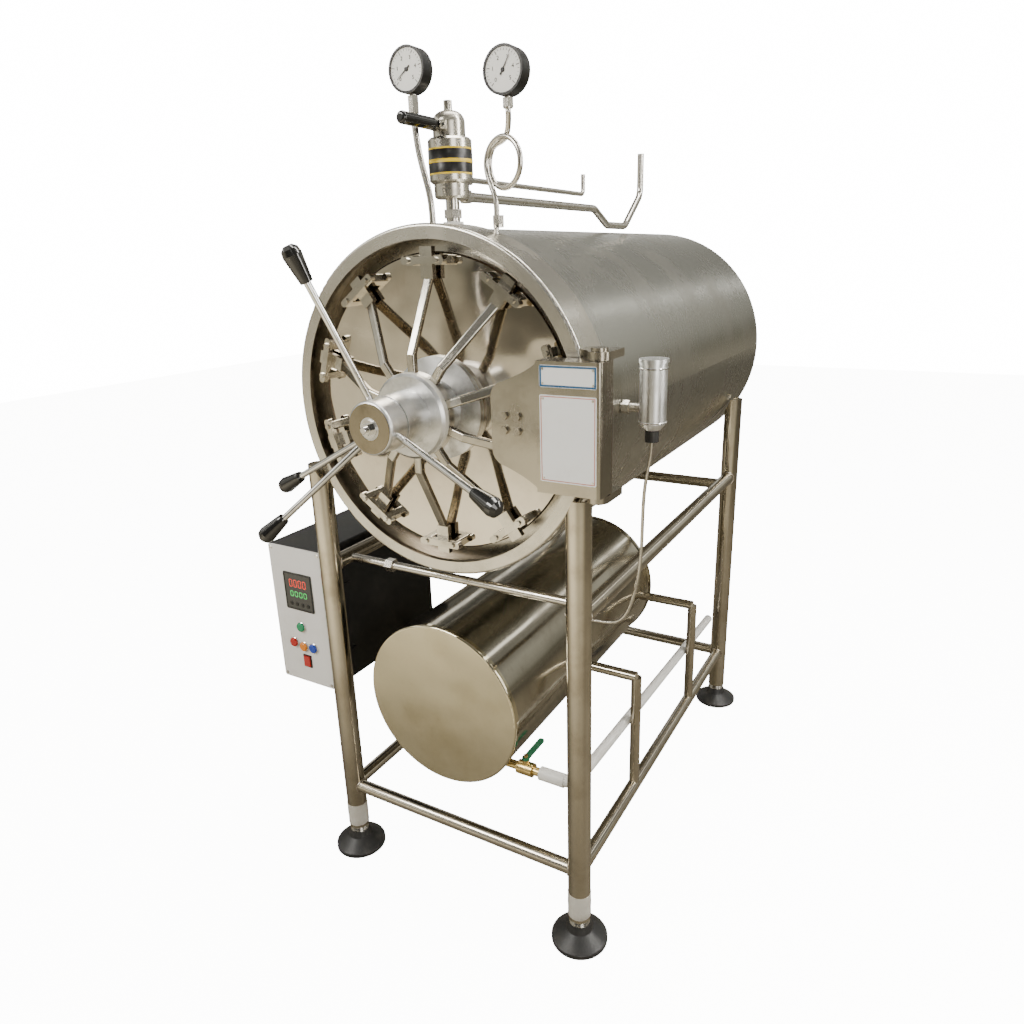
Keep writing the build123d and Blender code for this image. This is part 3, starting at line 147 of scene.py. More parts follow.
class Nodes:
    """A node tree that is filled from Python."""

    def __init__(self, tree: bpy.types.NodeTree) -> None:
        """Empties a tree.

        Args:
            tree: The tree of a material, of the world or of a Geometry Nodes group.
        """
        self.tree = tree
        self.tree.nodes.clear()

    def node(self, kind: str, settings: Optional[dict] = None,
             sockets: Optional[dict] = None) -> bpy.types.Node:
        """Adds any node.

        Args:
            kind: The node's type name.
            settings: Properties of the node, set first. "stops" fills a colour ramp.
            sockets: Values, sockets or signals for its inputs, by number or name.

        Returns:
            The node.
        """
        made = self.tree.nodes.new(kind)
        for key, value in (settings or {}).items():
            if key == "stops":
                ramp = made.color_ramp
                while len(ramp.elements) < len(value):
                    ramp.elements.new(0.5)
                for stop, (where, shade) in zip(ramp.elements, value):
                    stop.position = where
                    stop.color = (*shade, 1.0)
            else:
                setattr(made, key, value)
        for key, value in (sockets or {}).items():
            self.feed(made.inputs[key], value)
        return made

    def feed(self, socket: bpy.types.NodeSocket, value: object) -> None:
        """Gives an input a constant or a link.

        Args:
            socket: The input.
            value: A number, a tuple, an output socket or a signal.
        """
        if isinstance(value, Signal):
            value = value.socket
        if isinstance(value, bpy.types.NodeSocket):
            self.tree.links.new(value, socket)
        else:
            socket.default_value = value

    def signal(self, kind: str, output: Union[int, str], settings: Optional[dict] = None,
               sockets: Optional[dict] = None) -> Signal:
        """Adds any node and keeps one of its outputs as a signal.

        Args:
            kind: The node's type name.
            output: Number or name of the output.
            settings: Properties of the node.
            sockets: Values or links of its inputs.

        Returns:
            The output.
        """
        return Signal(self, self.node(kind, settings, sockets).outputs[output])

    def parts_of(self, vector: Signal) -> tuple[Signal, Signal, Signal]:
        """The three numbers of a vector.

        Args:
            vector: The vector.

        Returns:
            Its X, Y and Z.
        """
        split = self.node("ShaderNodeSeparateXYZ", None, {0: vector})
        return tuple(Signal(self, out) for out in split.outputs)

    def noise(self, vector: Signal, scale: float, detail: float = 3.0, rough: float = 0.5) -> Signal:
        """Noise between 0 and 1.

        Args:
            vector: The coordinates.
            scale: Scale of the noise.
            detail: Number of finer layers.
            rough: Strength of the finer layers.

        Returns:
            The noise.
        """
        return self.signal("ShaderNodeTexNoise", 0, None,
                           {"Vector": vector, "Scale": scale, "Detail": detail, "Roughness": rough})

    def blend(self, factor: Union[Signal, float], first: object, second: object) -> bpy.types.NodeSocket:
        """Mixes two colours.

        Args:
            factor: 0 for the first colour, 1 for the second.
            first: A colour or a colour socket.
            second: A colour or a colour socket.

        Returns:
            The mixed colour.
        """
        made = self.node("ShaderNodeMix", {"data_type": "RGBA"})
        self.feed(made.inputs[0], factor)
        for slot, colour in ((6, first), (7, second)):
            self.feed(made.inputs[slot], (*colour, 1.0) if isinstance(colour, tuple) else colour)
        return made.outputs[2]


class Recipe(Nodes):
    """The node tree of one material."""

    def __init__(self, name: str) -> None:
        """Starts an empty tree with a surface shader.

        Args:
            name: Name of the material.
        """
        self.material = bpy.data.materials.new(name)
        self.material.use_nodes = True
        super().__init__(self.material.node_tree)
        self.output = self.node("ShaderNodeOutputMaterial")
        self.surface = self.node("ShaderNodeBsdfPrincipled")
        self.tree.links.new(self.surface.outputs[0], self.output.inputs[0])

    def place(self, centre: Point = (0, 0, 0), scale: Point = (1, 1, 1)) -> Signal:
        """Object coordinates about a centre.

        Args:
            centre: Point that becomes the middle of the pattern.
            scale: Scale along each axis.

        Returns:
            The coordinates.
        """
        where = self.node("ShaderNodeTexCoord").outputs["Object"]
        shifted = self.node("ShaderNodeVectorMath", {"operation": "SUBTRACT"}, {0: where, 1: centre})
        grown = self.node("ShaderNodeVectorMath", {"operation": "MULTIPLY"},
                          {0: shifted.outputs[0], 1: scale})
        return Signal(self, grown.outputs[0])

    def turned(self, centre: Point, across: float, along: float) -> Signal:
        """Coordinates that run round the Y axis through a centre, for lathe lines.

        Args:
            centre: A point on the axis.
            across: Scale over the radius and over Y.
            along: Scale round the axis.

        Returns:
            The coordinates.
        """
        x, y, z = self.parts_of(self.place(centre))
        radius = (x * x + z * z).root()
        joined = self.node("ShaderNodeCombineXYZ", None,
                           {0: radius * across, 1: y * across, 2: x / (radius + 0.001) * along})
        return Signal(self, joined.outputs[0])

    def bump(self, height: Signal, strength: float, depth: float,
             under: Optional[bpy.types.NodeSocket] = None) -> bpy.types.NodeSocket:
        """A bumped normal.

        Args:
            height: The height pattern.
            strength: Strength from 0 to 1.
            depth: Depth of the pattern in metres.
            under: A normal that this one lies on.

        Returns:
            The normal.
        """
        sockets = {"Height": height, "Strength": strength, "Distance": depth}
        if under is not None:
            sockets["Normal"] = under
        return self.node("ShaderNodeBump", None, sockets).outputs[0]

    def done(self, **sockets: object) -> bpy.types.Material:
        """Sets the surface shader.

        Args:
            sockets: Its inputs, with _ for a space in a name.

        Returns:
            The finished material.
        """
        for key, value in sockets.items():
            if isinstance(value, tuple) and len(value) == 3:
                value = (*value, 1.0)
            self.feed(self.surface.inputs[key.replace("_", " ")], value)
        return self.material


# Finishes

VESSEL_AXIS: Point = (0.0446, 0.0, 1.194)
BOILER_AXIS: Point = (0.0196, 0.0, 0.508)


@dataclass(frozen=True)
class Metal:
    """Bare metal with grain, handling marks and slight waves."""

    name: str
    colour: Colour
    dull: Colour
    rough: float
    wander: float
    grain: Grain = Grain.EVEN
    fine: float = 900.0
    cut: float = 0.25
    wave: float = 0.0
    smear: float = 5.0
    centre: Point = (0.0, 0.0, 0.0)

    stretch: ClassVar[dict[Grain, Point]] = {
        Grain.EVEN: (1.0, 1.0, 1.0), Grain.ALONG_Y: (1.0, 0.02, 1.0), Grain.ALONG_Z: (1.0, 1.0, 0.02),
    }
    turned_stretch: ClassVar[float] = 0.03
    groove: ClassVar[float] = 0.0002
    marks_range: ClassVar[tuple[float, float]] = (0.42, 0.72)
    marks_share: ClassVar[float] = 0.75
    specks_range: ClassVar[tuple[float, float]] = (0.55, 0.8)
    specks_share: ClassVar[float] = 0.15
    specks_finer: ClassVar[float] = 14
    line_share: ClassVar[float] = 0.7
    rough_offset: ClassVar[float] = 0.35
    wave_scale: ClassVar[float] = 7.0
    wave_depth: ClassVar[float] = 0.01

    def material(self) -> bpy.types.Material:
        """Builds the metal's material.

        Returns:
            The material.
        """
        book = Recipe(self.name)
        where = book.place()
        if self.grain is Grain.TURNED:
            lines = book.noise(book.turned(self.centre, 1.0, self.turned_stretch), self.fine, 2.0)
        else:
            lines = book.noise(book.place((0, 0, 0), self.stretch[self.grain]), self.fine, 2.0)
        smears = book.noise(where, self.smear, 5.0, 0.6)
        specks = book.noise(where, self.smear * self.specks_finer, 2.0, 0.5)
        marks = smears.above(*self.marks_range)
        spots = specks.above(*self.specks_range)
        tint = book.blend(marks * self.marks_share + spots * self.specks_share, self.colour, self.dull)
        base = self.rough - self.wander * self.rough_offset
        rough = marks * self.wander + lines * self.wander * self.line_share + base
        normal = book.bump(lines, self.cut, self.groove)
        if self.wave:
            swell = book.noise(where, self.wave_scale, 1.0)
            normal = book.bump(swell, self.wave, self.wave_depth, normal)
        return book.done(Base_Color=tint, Metallic=1.0, Roughness=rough, Normal=normal)


@dataclass(frozen=True)
class Plastic:
    """Moulded plastic or rubber with a fine skin."""

    name: str
    colour: Colour
    rough: float
    skin: float = 0.15
    dust: Colour = (0.18, 0.17, 0.15)
    dusty: float = 0.12
    coat: float = 0.0

    pore_scale: ClassVar[float] = 1400.0
    pore: ClassVar[float] = 0.0002
    cloud_scale: ClassVar[float] = 18.0
    cloud_range: ClassVar[tuple[float, float]] = (0.45, 0.8)
    rough_swing: ClassVar[float] = 0.12
    coat_rough: ClassVar[float] = 0.08

    def material(self) -> bpy.types.Material:
        """Builds the plastic's material.

        Returns:
            The material.
        """
        book = Recipe(self.name)
        where = book.place()
        pores = book.noise(where, self.pore_scale, 2.0)
        cloud = book.noise(where, self.cloud_scale, 4.0, 0.6)
        tint = book.blend(cloud.above(*self.cloud_range) * self.dusty, self.colour, self.dust)
        rough = cloud * self.rough_swing + (self.rough - self.rough_swing / 2)
        normal = book.bump(pores, self.skin, self.pore)
        return book.done(Base_Color=tint, Roughness=rough, Normal=normal, Coat_Weight=self.coat,
                         Coat_Roughness=self.coat_rough)


@dataclass(frozen=True)
class Paint:
    """Powder coat on sheet, with a slight orange-peel skin and grubby patches."""

    name: str
    colour: Colour
    grime: Colour
    rough: float
    peel: float = 0.2

    peel_scale: ClassVar[float] = 420.0
    peel_depth: ClassVar[float] = 0.0004
    cloud_scale: ClassVar[float] = 9.0
    cloud_range: ClassVar[tuple[float, float]] = (0.45, 0.85)
    cloud_share: ClassVar[float] = 0.45
    speck_scale: ClassVar[float] = 90.0
    speck_range: ClassVar[tuple[float, float]] = (0.6, 0.85)
    speck_share: ClassVar[float] = 0.2
    rough_swing: ClassVar[float] = 0.16

    def material(self) -> bpy.types.Material:
        """Builds the paint's material.

        Returns:
            The material.
        """
        book = Recipe(self.name)
        where = book.place()
        skin = book.noise(where, self.peel_scale, 2.0)
        cloud = book.noise(where, self.cloud_scale, 5.0, 0.65)
        fine = book.noise(where, self.speck_scale, 3.0, 0.6)
        patches = cloud.above(*self.cloud_range) * self.cloud_share
        specks = fine.above(*self.speck_range) * self.speck_share
        tint = book.blend(patches + specks, self.colour, self.grime)
        rough = cloud * self.rough_swing + (self.rough - self.rough_swing / 2)
        return book.done(Base_Color=tint, Roughness=rough,
                         Normal=book.bump(skin, self.peel, self.peel_depth))


@dataclass(frozen=True)
class Lamp:
    """Coloured lens of a signal lamp or a lit display."""

    name: str
    colour: Colour
    glow: float = 0.0

    ripple_scale: ClassVar[float] = 260.0
    ripple_share: ClassVar[float] = 0.35
    shade: ClassVar[float] = 0.45
    rough: ClassVar[float] = 0.12
    rough_swing: ClassVar[float] = 0.1
    ripple: ClassVar[tuple[float, float]] = (0.2, 0.0005)

    def material(self) -> bpy.types.Material:
        """Builds the lens material.

        Returns:
            The material.
        """
        book = Recipe(self.name)
        ripple = book.noise(book.place(), self.ripple_scale, 1.0)
        dark = tuple(self.shade * c for c in self.colour)
        return book.done(Base_Color=book.blend(ripple * self.ripple_share, self.colour, dark),
                         Roughness=ripple * self.rough_swing + self.rough,
                         Normal=book.bump(ripple, *self.ripple),
                         Emission_Color=self.colour, Emission_Strength=self.glow)


class Finish(Enum):
    """Every finish of the machine."""

    JACKET = Metal("jacket_satin", colour=(0.5, 0.495, 0.455), dull=(0.37, 0.355, 0.315), rough=0.25,
                   wander=0.11, grain=Grain.TURNED, fine=700.0, cut=0.3, wave=0.1, smear=3.5,
                   centre=VESSEL_AXIS)
    RING = Metal("ring_polish", colour=(0.66, 0.63, 0.56), dull=(0.47, 0.44, 0.37), rough=0.24,
                 wander=0.12, grain=Grain.TURNED, fine=900.0, cut=0.25, wave=0.12, smear=6.0,
                 centre=VESSEL_AXIS)
    # Painted shade: the ring's steel made dark brown for its inner walls, where shadow falls between ring and
    # door.
    RING_INSIDE = Metal("ring_inside_painted_shade", colour=(0.2, 0.17, 0.13), dull=(0.09, 0.075, 0.055),
                        rough=0.3, wander=0.14, grain=Grain.TURNED, fine=700.0, cut=0.25, wave=0.12,
                        smear=9.0, centre=VESSEL_AXIS)
    DOOR = Metal("door_mirror", colour=(0.66, 0.61, 0.52), dull=(0.47, 0.41, 0.33), rough=0.07,
                 wander=0.06, grain=Grain.EVEN, fine=500.0, cut=0.04, wave=0.42, smear=4.0)
    # Painted shade: a dark copy of the arm steel for the arms' sides and backs.
    ARM_BACK = Metal("arm_side_painted_shade", colour=(0.22, 0.19, 0.14), dull=(0.1, 0.085, 0.065), rough=0.24,
                     wander=0.12, grain=Grain.EVEN, fine=500.0, cut=0.1, wave=0.15, smear=22.0)
    ARM = Metal("arm_polish", colour=(0.6, 0.57, 0.5), dull=(0.4, 0.37, 0.31), rough=0.15, wander=0.1,
                grain=Grain.EVEN, fine=500.0, cut=0.1, wave=0.15, smear=22.0)
    TUBE = Metal("tube_satin", colour=(0.54, 0.495, 0.405), dull=(0.36, 0.315, 0.24), rough=0.13,
                 wander=0.11, grain=Grain.ALONG_Z, fine=600.0, cut=0.2, wave=0.06, smear=9.0)
    RAIL = Metal("rail_satin", colour=(0.6, 0.555, 0.465), dull=(0.39, 0.345, 0.275), rough=0.14,
                 wander=0.12, grain=Grain.ALONG_Y, fine=600.0, cut=0.2, wave=0.06, smear=9.0)
    HUB = Metal("hub_machined", colour=(0.74, 0.74, 0.73), dull=(0.46, 0.46, 0.45), rough=0.3,
                wander=0.12, grain=Grain.TURNED, fine=1500.0, cut=0.6, wave=0.0, smear=25.0,
                centre=VESSEL_AXIS)
    HUB_FACE = Metal("hub_face_mirror", colour=(0.3, 0.26, 0.19), dull=(0.19, 0.16, 0.115), rough=0.1,
                     wander=0.08, grain=Grain.TURNED, fine=900.0, cut=0.15, wave=0.2, smear=20.0,
                     centre=VESSEL_AXIS)
    VALVE = Metal("valve_body_satin", colour=(0.6, 0.57, 0.5), dull=(0.4, 0.37, 0.31), rough=0.24,
                  wander=0.14, grain=Grain.EVEN, fine=700.0, cut=0.25, wave=0.05, smear=30.0)
    WELD = Metal("weld_bead", colour=(0.55, 0.5, 0.42), dull=(0.28, 0.24, 0.2), rough=0.3, wander=0.18,
                 grain=Grain.EVEN, fine=500.0, cut=0.3, wave=0.0, smear=80.0)
    CHROME = Metal("rod_chrome", colour=(0.74, 0.73, 0.71), dull=(0.52, 0.5, 0.47), rough=0.07,
                   wander=0.08, grain=Grain.EVEN, fine=500.0, cut=0.05, wave=0.05, smear=30.0)
    FITTING = Metal("fitting_turned", colour=(0.66, 0.63, 0.57), dull=(0.45, 0.42, 0.37), rough=0.2,
                    wander=0.13, grain=Grain.EVEN, fine=800.0, cut=0.25, wave=0.05, smear=30.0)
    BOILER_END = Metal("boiler_end_mirror", colour=(0.66, 0.6, 0.44), dull=(0.5, 0.44, 0.29),
                       rough=0.06, wander=0.05, grain=Grain.EVEN, fine=500.0, cut=0.04, wave=0.36,
                       smear=4.0)
    BOILER = Metal("boiler_polish", colour=(0.5, 0.47, 0.39), dull=(0.32, 0.29, 0.23), rough=0.11,
                   wander=0.09, grain=Grain.TURNED, fine=600.0, cut=0.25, wave=0.12, smear=5.0,
                   centre=BOILER_AXIS)
    HINGE = Metal("hinge_satin", colour=(0.42, 0.39, 0.325), dull=(0.3, 0.27, 0.215), rough=0.19,
                  wander=0.12, grain=Grain.ALONG_Z, fine=650.0, cut=0.25, wave=0.2, smear=7.0)
    ALUMINIUM = Metal("trap_aluminium", colour=(0.92, 0.93, 0.94), dull=(0.74, 0.74, 0.73), rough=0.3,
                      wander=0.12, grain=Grain.ALONG_Z, fine=900.0, cut=0.3, wave=0.0, smear=20.0)
    BRASS = Metal("fitting_brass", colour=(0.62, 0.47, 0.2), dull=(0.38, 0.28, 0.13), rough=0.24,
                  wander=0.14, grain=Grain.EVEN, fine=700.0, cut=0.2, wave=0.0, smear=40.0)
    KNOB = Plastic("knob_gloss_black", colour=(0.006, 0.006, 0.006), rough=0.12, skin=0.05, dusty=0.05,
                   coat=0.6)
    CASE = Plastic("gauge_case_black", colour=(0.008, 0.008, 0.008), rough=0.34, skin=0.25, dusty=0.1)
    FOOT = Plastic("foot_black", colour=(0.018, 0.018, 0.018), rough=0.42, skin=0.35,
                   dust=(0.16, 0.14, 0.12), dusty=0.28)
    TRAP_NECK = Plastic("trap_neck_black", colour=(0.02, 0.02, 0.02), rough=0.38, skin=0.25, dusty=0.12)
    SEAL = Plastic("door_seal_silicone", colour=(0.62, 0.6, 0.55), rough=0.55, skin=0.15,
                   dust=(0.4, 0.37, 0.3), dusty=0.3)
    BOX = Paint("box_black", colour=(0.008, 0.008, 0.008), grime=(0.045, 0.04, 0.034), rough=0.45)
    PANEL = Paint("panel_white", colour=(0.72, 0.71, 0.7), grime=(0.52, 0.49, 0.45), rough=0.38)
    SIGN = Paint("sign_white", colour=(0.8, 0.81, 0.82), grime=(0.66, 0.65, 0.63), rough=0.32,
                 peel=0.05)
    SIGN_EDGE = Paint("sign_red_edge", colour=(0.52, 0.2, 0.17), grime=(0.3, 0.14, 0.12), rough=0.35,
                      peel=0.05)
    DISPLAY = Plastic("display_black", colour=(0.012, 0.014, 0.016), rough=0.14, skin=0.03, dusty=0.06,
                      coat=0.5)
    DIAL = Paint("dial_white", colour=(0.84, 0.84, 0.82), grime=(0.74, 0.73, 0.7), rough=0.45,
                 peel=0.03)
    DIAL_INK = Plastic("dial_black", colour=(0.01, 0.01, 0.01), rough=0.5, skin=0.02, dusty=0.0)
    LAMP_GREEN = Lamp("lamp_green", colour=(0.01, 0.26, 0.11))
    LAMP_RED = Lamp("lamp_red", colour=(0.45, 0.015, 0.01))
    LAMP_AMBER = Lamp("lamp_amber", colour=(0.75, 0.22, 0.01))
    LAMP_BLUE = Lamp("lamp_blue", colour=(0.01, 0.05, 0.4))
    DIGITS = Lamp("digits_red", colour=(0.8, 0.05, 0.03), glow=1.2)
    DIGITS_GREEN = Lamp("digits_green", colour=(0.05, 0.6, 0.12), glow=1.0)
    # Painted highlight: a cream band that stands for the bright reflection of a light at the right on the hub
    # collar.
    BAND_CREAM = Plastic("collar_band_painted_highlight", colour=(0.86, 0.84, 0.77), rough=0.3, skin=0.03,
                         dust=(0.6, 0.56, 0.48), dusty=0.25)
    BAND_YELLOW = Plastic("band_yellow", colour=(0.75, 0.52, 0.02), rough=0.45, skin=0.05, dusty=0.2)
    SIGN_BLUE = Paint("sign_blue_edge", colour=(0.02, 0.09, 0.2), grime=(0.1, 0.12, 0.14), rough=0.35,
                      peel=0.05)
    FILM = Plastic("leg_film", colour=(0.62, 0.6, 0.54), rough=0.3, skin=0.6, dust=(0.35, 0.31, 0.24),
                   dusty=0.5)
    ROCKER = Plastic("rocker_red", colour=(0.42, 0.015, 0.012), rough=0.28, skin=0.05, dusty=0.05,
                     coat=0.3)
    TAPE = Plastic("thread_tape_white", colour=(0.74, 0.73, 0.7), rough=0.62, skin=0.6,
                   dust=(0.45, 0.42, 0.36), dusty=0.35)
    LEVER_GREEN = Plastic("drain_grip_green", colour=(0.01, 0.14, 0.06), rough=0.35, skin=0.1,
                          dusty=0.2)
    WHITE_STUB = Plastic("drain_stub_white", colour=(0.7, 0.69, 0.66), rough=0.42, skin=0.15,
                         dust=(0.45, 0.4, 0.32), dusty=0.3)


class FinishBook:
    """Keeps one material for each finish."""

    def __init__(self) -> None:
        """Starts with no materials."""
        self.made: dict[str, bpy.types.Material] = {}

    def __getitem__(self, finish: Finish) -> bpy.types.Material:
        """The material of a finish, built when it is first used.

        Args:
            finish: The finish.

        Returns:
            Its material.
        """
        if finish.name not in self.made:
            self.made[finish.name] = finish.value.material()
        return self.made[finish.name]

    def dress(self, node: bpy.types.Object, finish: Finish) -> None:
        """Gives a whole object one finish.

        Args:
            node: The object.
            finish: Its finish.
        """
        node.data.materials.clear()
        node.data.materials.append(self[finish])


# Studio

@dataclass(frozen=True)
class Softbox:
    """One soft rectangular light: where it hangs, what it faces, its size and its power."""

    name: str
    at: Point
    aim: Point
    size: tuple[float, float]
    watts: float
    colour: Colour = (1.0, 0.97, 0.92)

    def hang(self) -> None:
        """Hangs the light in the studio."""
        data = bpy.data.lights.new(self.name, "AREA")
        data.shape = "RECTANGLE"
        data.size, data.size_y = self.size
        data.energy = self.watts
        data.color = self.colour
        lamp = bpy.data.objects.new(self.name, data)
        lamp.location = self.at
        lamp.rotation_mode = "QUATERNION"
        lamp.rotation_quaternion = (Vector(self.aim) - Vector(self.at)).to_track_quat("-Z", "Y")
        bpy.context.scene.collection.objects.link(lamp)


LIGHTS = (
    Softbox("key_light", (-1.6, -3.2, 3.4), (0.0, -0.2, 0.9), (1.8, 1.2), 130.0),
    Softbox("strip_light", (2.2, 0.4, 2.9), (0.1, 0.1, 1.2), (0.25, 2.6), 70.0),
    Softbox("top_light", (0.3, 0.4, 4.2), (0.0, 0.0, 1.0), (0.7, 2.4), 90.0),
    Softbox("fill_light", (3.0, -2.6, 1.6), (0.0, 0.0, 0.8), (1.4, 1.8), 40.0),
    Softbox("side_light", (2.6, 0.1, 1.5), (0.05, -0.6, 1.2), (0.5, 0.9), 16.0),
)


@dataclass
class Studio:
    """Floor, backdrop light and the camera of the photograph."""

    eye: Point = (0.9403, -1.73815, 1.4770)
    yaw: float = 30.31
    pitch: float = 18.41
    roll: float = -1.78
    focal_px: float = 762.56
    frame_px: int = 1024
    sensor: float = 36.0
    clip: tuple[float, float] = (0.05, 60.0)
    floor_half: float = 9.0
    floor_back: Colour = (0.16, 0.14, 0.10)
    floor_front: Colour = (0.95, 0.87, 0.68)
    front_glow: float = 0.46
    floor_lift: float = 12.0
    front_from: float = 0.5
    front_to: float = 2.8
    right_edge: float = 1.4
    right_fade: float = 2.2
    right_share: float = 0.6
    floor_rough: float = 0.6
    floor_pale: Colour = (0.90, 0.90, 0.89)
    floor_white: Colour = (1.0, 1.0, 0.99)
    sky_bands: tuple[tuple[float, Colour], ...] = (
        (0.0, (0.60, 0.54, 0.40)), (0.34, (0.66, 0.60, 0.45)), (0.44, (0.40, 0.36, 0.27)),
        (0.50, (0.17, 0.16, 0.12)), (0.535, (0.42, 0.41, 0.35)), (0.63, (0.56, 0.55, 0.48)),
        (0.74, (0.34, 0.33, 0.29)), (1.0, (0.62, 0.61, 0.56)))
    least: float = 0.02
    ahead_range: tuple[float, float] = (0.05, 0.3)
    screen_range: tuple[float, float] = (0.58, 0.74)
    screen: tuple[float, float] = (1.5, 0.35)
    side_range: tuple[float, float] = (-0.5, 0.35)
    side: tuple[float, float] = (0.6, 0.45)
    sky_patch: float = 2.4
    patch_range: tuple[float, float] = (0.36, 0.64)
    patch: tuple[float, float] = (0.75, 0.55)
    tube_core: float = 0.6
    tube_colour: Colour = (1.0, 0.98, 0.92)
    tube_start: float = 0.08
    tube_full: float = 0.16
    white_level: float = 16.0
    room_level: float = 1.0
    tubes: tuple[tuple[float, float, float], ...] = ((0.70, 0.07, 2.6), (-1.9, 0.35, 1.6))

    def camera(self) -> None:
        """Sets up the camera."""
        yaw, pitch, roll = (math.radians(a) for a in (self.yaw, self.pitch, self.roll))
        ahead = Vector((-math.sin(yaw) * math.cos(pitch), math.cos(yaw) * math.cos(pitch),
                        -math.sin(pitch)))
        right = Vector((math.cos(yaw), math.sin(yaw), 0.0))
        above = right.cross(ahead)
        across = math.cos(roll) * right + math.sin(roll) * above
        up = -math.sin(roll) * right + math.cos(roll) * above
        turn = Matrix((across, up, -ahead)).transposed().to_4x4()
        data = bpy.data.cameras.new("camera")
        data.sensor_width = self.sensor
        data.lens = self.focal_px / self.frame_px * data.sensor_width
        data.clip_start, data.clip_end = self.clip
        eye = bpy.data.objects.new("camera", data)
        eye.matrix_world = Matrix.Translation(self.eye) @ turn
        bpy.context.scene.collection.objects.link(eye)
        bpy.context.scene.camera = eye

    def floor(self) -> None:
        """Lays the pale floor."""
        mesh = bpy.data.meshes.new("studio_floor")
        half = self.floor_half
        corners = [(-half, -half, 0), (half, -half, 0), (half, half, 0), (-half, half, 0)]
        mesh.from_pydata(corners, [], [(0, 1, 2, 3)])
        floor = bpy.data.objects.new("studio_floor", mesh)
        bpy.context.scene.collection.objects.link(floor)
        book = Recipe("studio_floor")
        x, y, _ = book.parts_of(book.place())
        left = (self.right_edge - x).above(0.0, self.right_fade)
        front = (0.0 - y).above(self.front_from, self.front_to) * (left * self.right_share
                                                                   + (1.0 - self.right_share))
        tint = book.blend(front, self.floor_back, self.floor_front)
        glow = book.blend(front, (0.0, 0.0, 0.0), self.floor_front)
        book.done(Base_Color=tint, Roughness=self.floor_rough, Emission_Color=glow,
                  Emission_Strength=self.front_glow)
        pale = book.node("ShaderNodeBsdfDiffuse", None, {0: (*self.floor_pale, 1.0)})
        lift = book.node("ShaderNodeEmission", None, {0: (*self.floor_white, 1.0), 1: self.floor_lift})
        both = book.node("ShaderNodeAddShader", None, {0: pale.outputs[0], 1: lift.outputs[0]})
        seen = book.node("ShaderNodeLightPath").outputs["Is Camera Ray"]
        mix = book.node("ShaderNodeMixShader", None,
                        {0: seen, 1: book.surface.outputs[0], 2: both.outputs[0]})
        book.feed(book.output.inputs[0], mix.outputs[0])
        mesh.materials.append(book.material)

    def sky(self) -> None:
        """Fills the room with soft light: white to the camera, a dim warm hall in reflections."""
        world = bpy.data.worlds.new("studio_room")
        bpy.context.scene.world = world
        world.use_nodes = True
        room = Nodes(world.node_tree)
        where = room.signal("ShaderNodeTexCoord", "Generated")
        x, y, z = room.parts_of(where)
        walls = room.node("ShaderNodeValToRGB", {"stops": self.sky_bands}, {0: z * 0.5 + 0.5}).outputs[0]
        ahead = (0.0 - y).above(*self.ahead_range)
        across = (x / y.sum("MINIMUM", -self.least)).above(*self.screen_range)
        screen = across * self.screen[0] + self.screen[1]
        side = x.above(*self.side_range) * self.side[0] + self.side[1]
        sides = side * (1.0 - ahead) + screen * ahead
        patches = room.noise(where, self.sky_patch, 1.0).above(*self.patch_range)
        patches = patches * self.patch[0] + self.patch[1]
        shade = room.node("ShaderNodeVectorMath", {"operation": "SCALE"},
                          {0: walls, "Scale": sides * patches * self.room_level})
        slope = x / z.sum("MAXIMUM", self.least)
        tubes: Optional[Signal] = None
        for lean, half, power in self.tubes:
            line = (1.0 - (slope - lean).sum("ABSOLUTE").above(half * self.tube_core, half)) * power
            tubes = line if tubes is None else tubes + line
        glow = tubes * z.above(self.tube_start, self.tube_full)
        lit = room.node("ShaderNodeVectorMath", {"operation": "SCALE"},
                        {0: self.tube_colour, "Scale": glow})
        total = room.node("ShaderNodeVectorMath", {"operation": "ADD"},
                          {0: shade.outputs[0], 1: lit.outputs[0]})
        hall = room.node("ShaderNodeBackground", None, {0: total.outputs[0], 1: 1.0})
        white = room.node("ShaderNodeBackground", None, {0: (1.0, 1.0, 1.0, 1.0), 1: self.white_level})
        seen = room.node("ShaderNodeLightPath").outputs["Is Camera Ray"]
        mix = room.node("ShaderNodeMixShader", None, {0: seen, 1: hall.outputs[0], 2: white.outputs[0]})
        room.node("ShaderNodeOutputWorld", None, {0: mix.outputs[0]})

    def build(self) -> None:
        """Builds the whole studio."""
        self.camera()
        self.floor()
        self.sky()
        for light in LIGHTS:
            light.hang()


# Meshes

TOUCH = 1e-4
MERGE = 1e-6
SHARP = math.radians(35)


@dataclass(frozen=True)
class Box:
    """Lowest and highest corner of something."""

    low: Vector
    high: Vector

    @property
    def middle(self) -> Vector:
        """Its middle."""
        return (self.low + self.high) / 2

    @property
    def size(self) -> Vector:
        """Its sizes along X, Y and Z."""
        return self.high - self.low

    def holds(self, point: Vector, margin: float = TOUCH) -> bool:
        """True where a point lies inside or on the box.

        Args:
            point: The point.
            margin: How far outside the box still counts.

        Returns:
            Whether the point belongs to the box.
        """
        return all(self.low[k] - margin <= point[k] <= self.high[k] + margin for k in range(3))


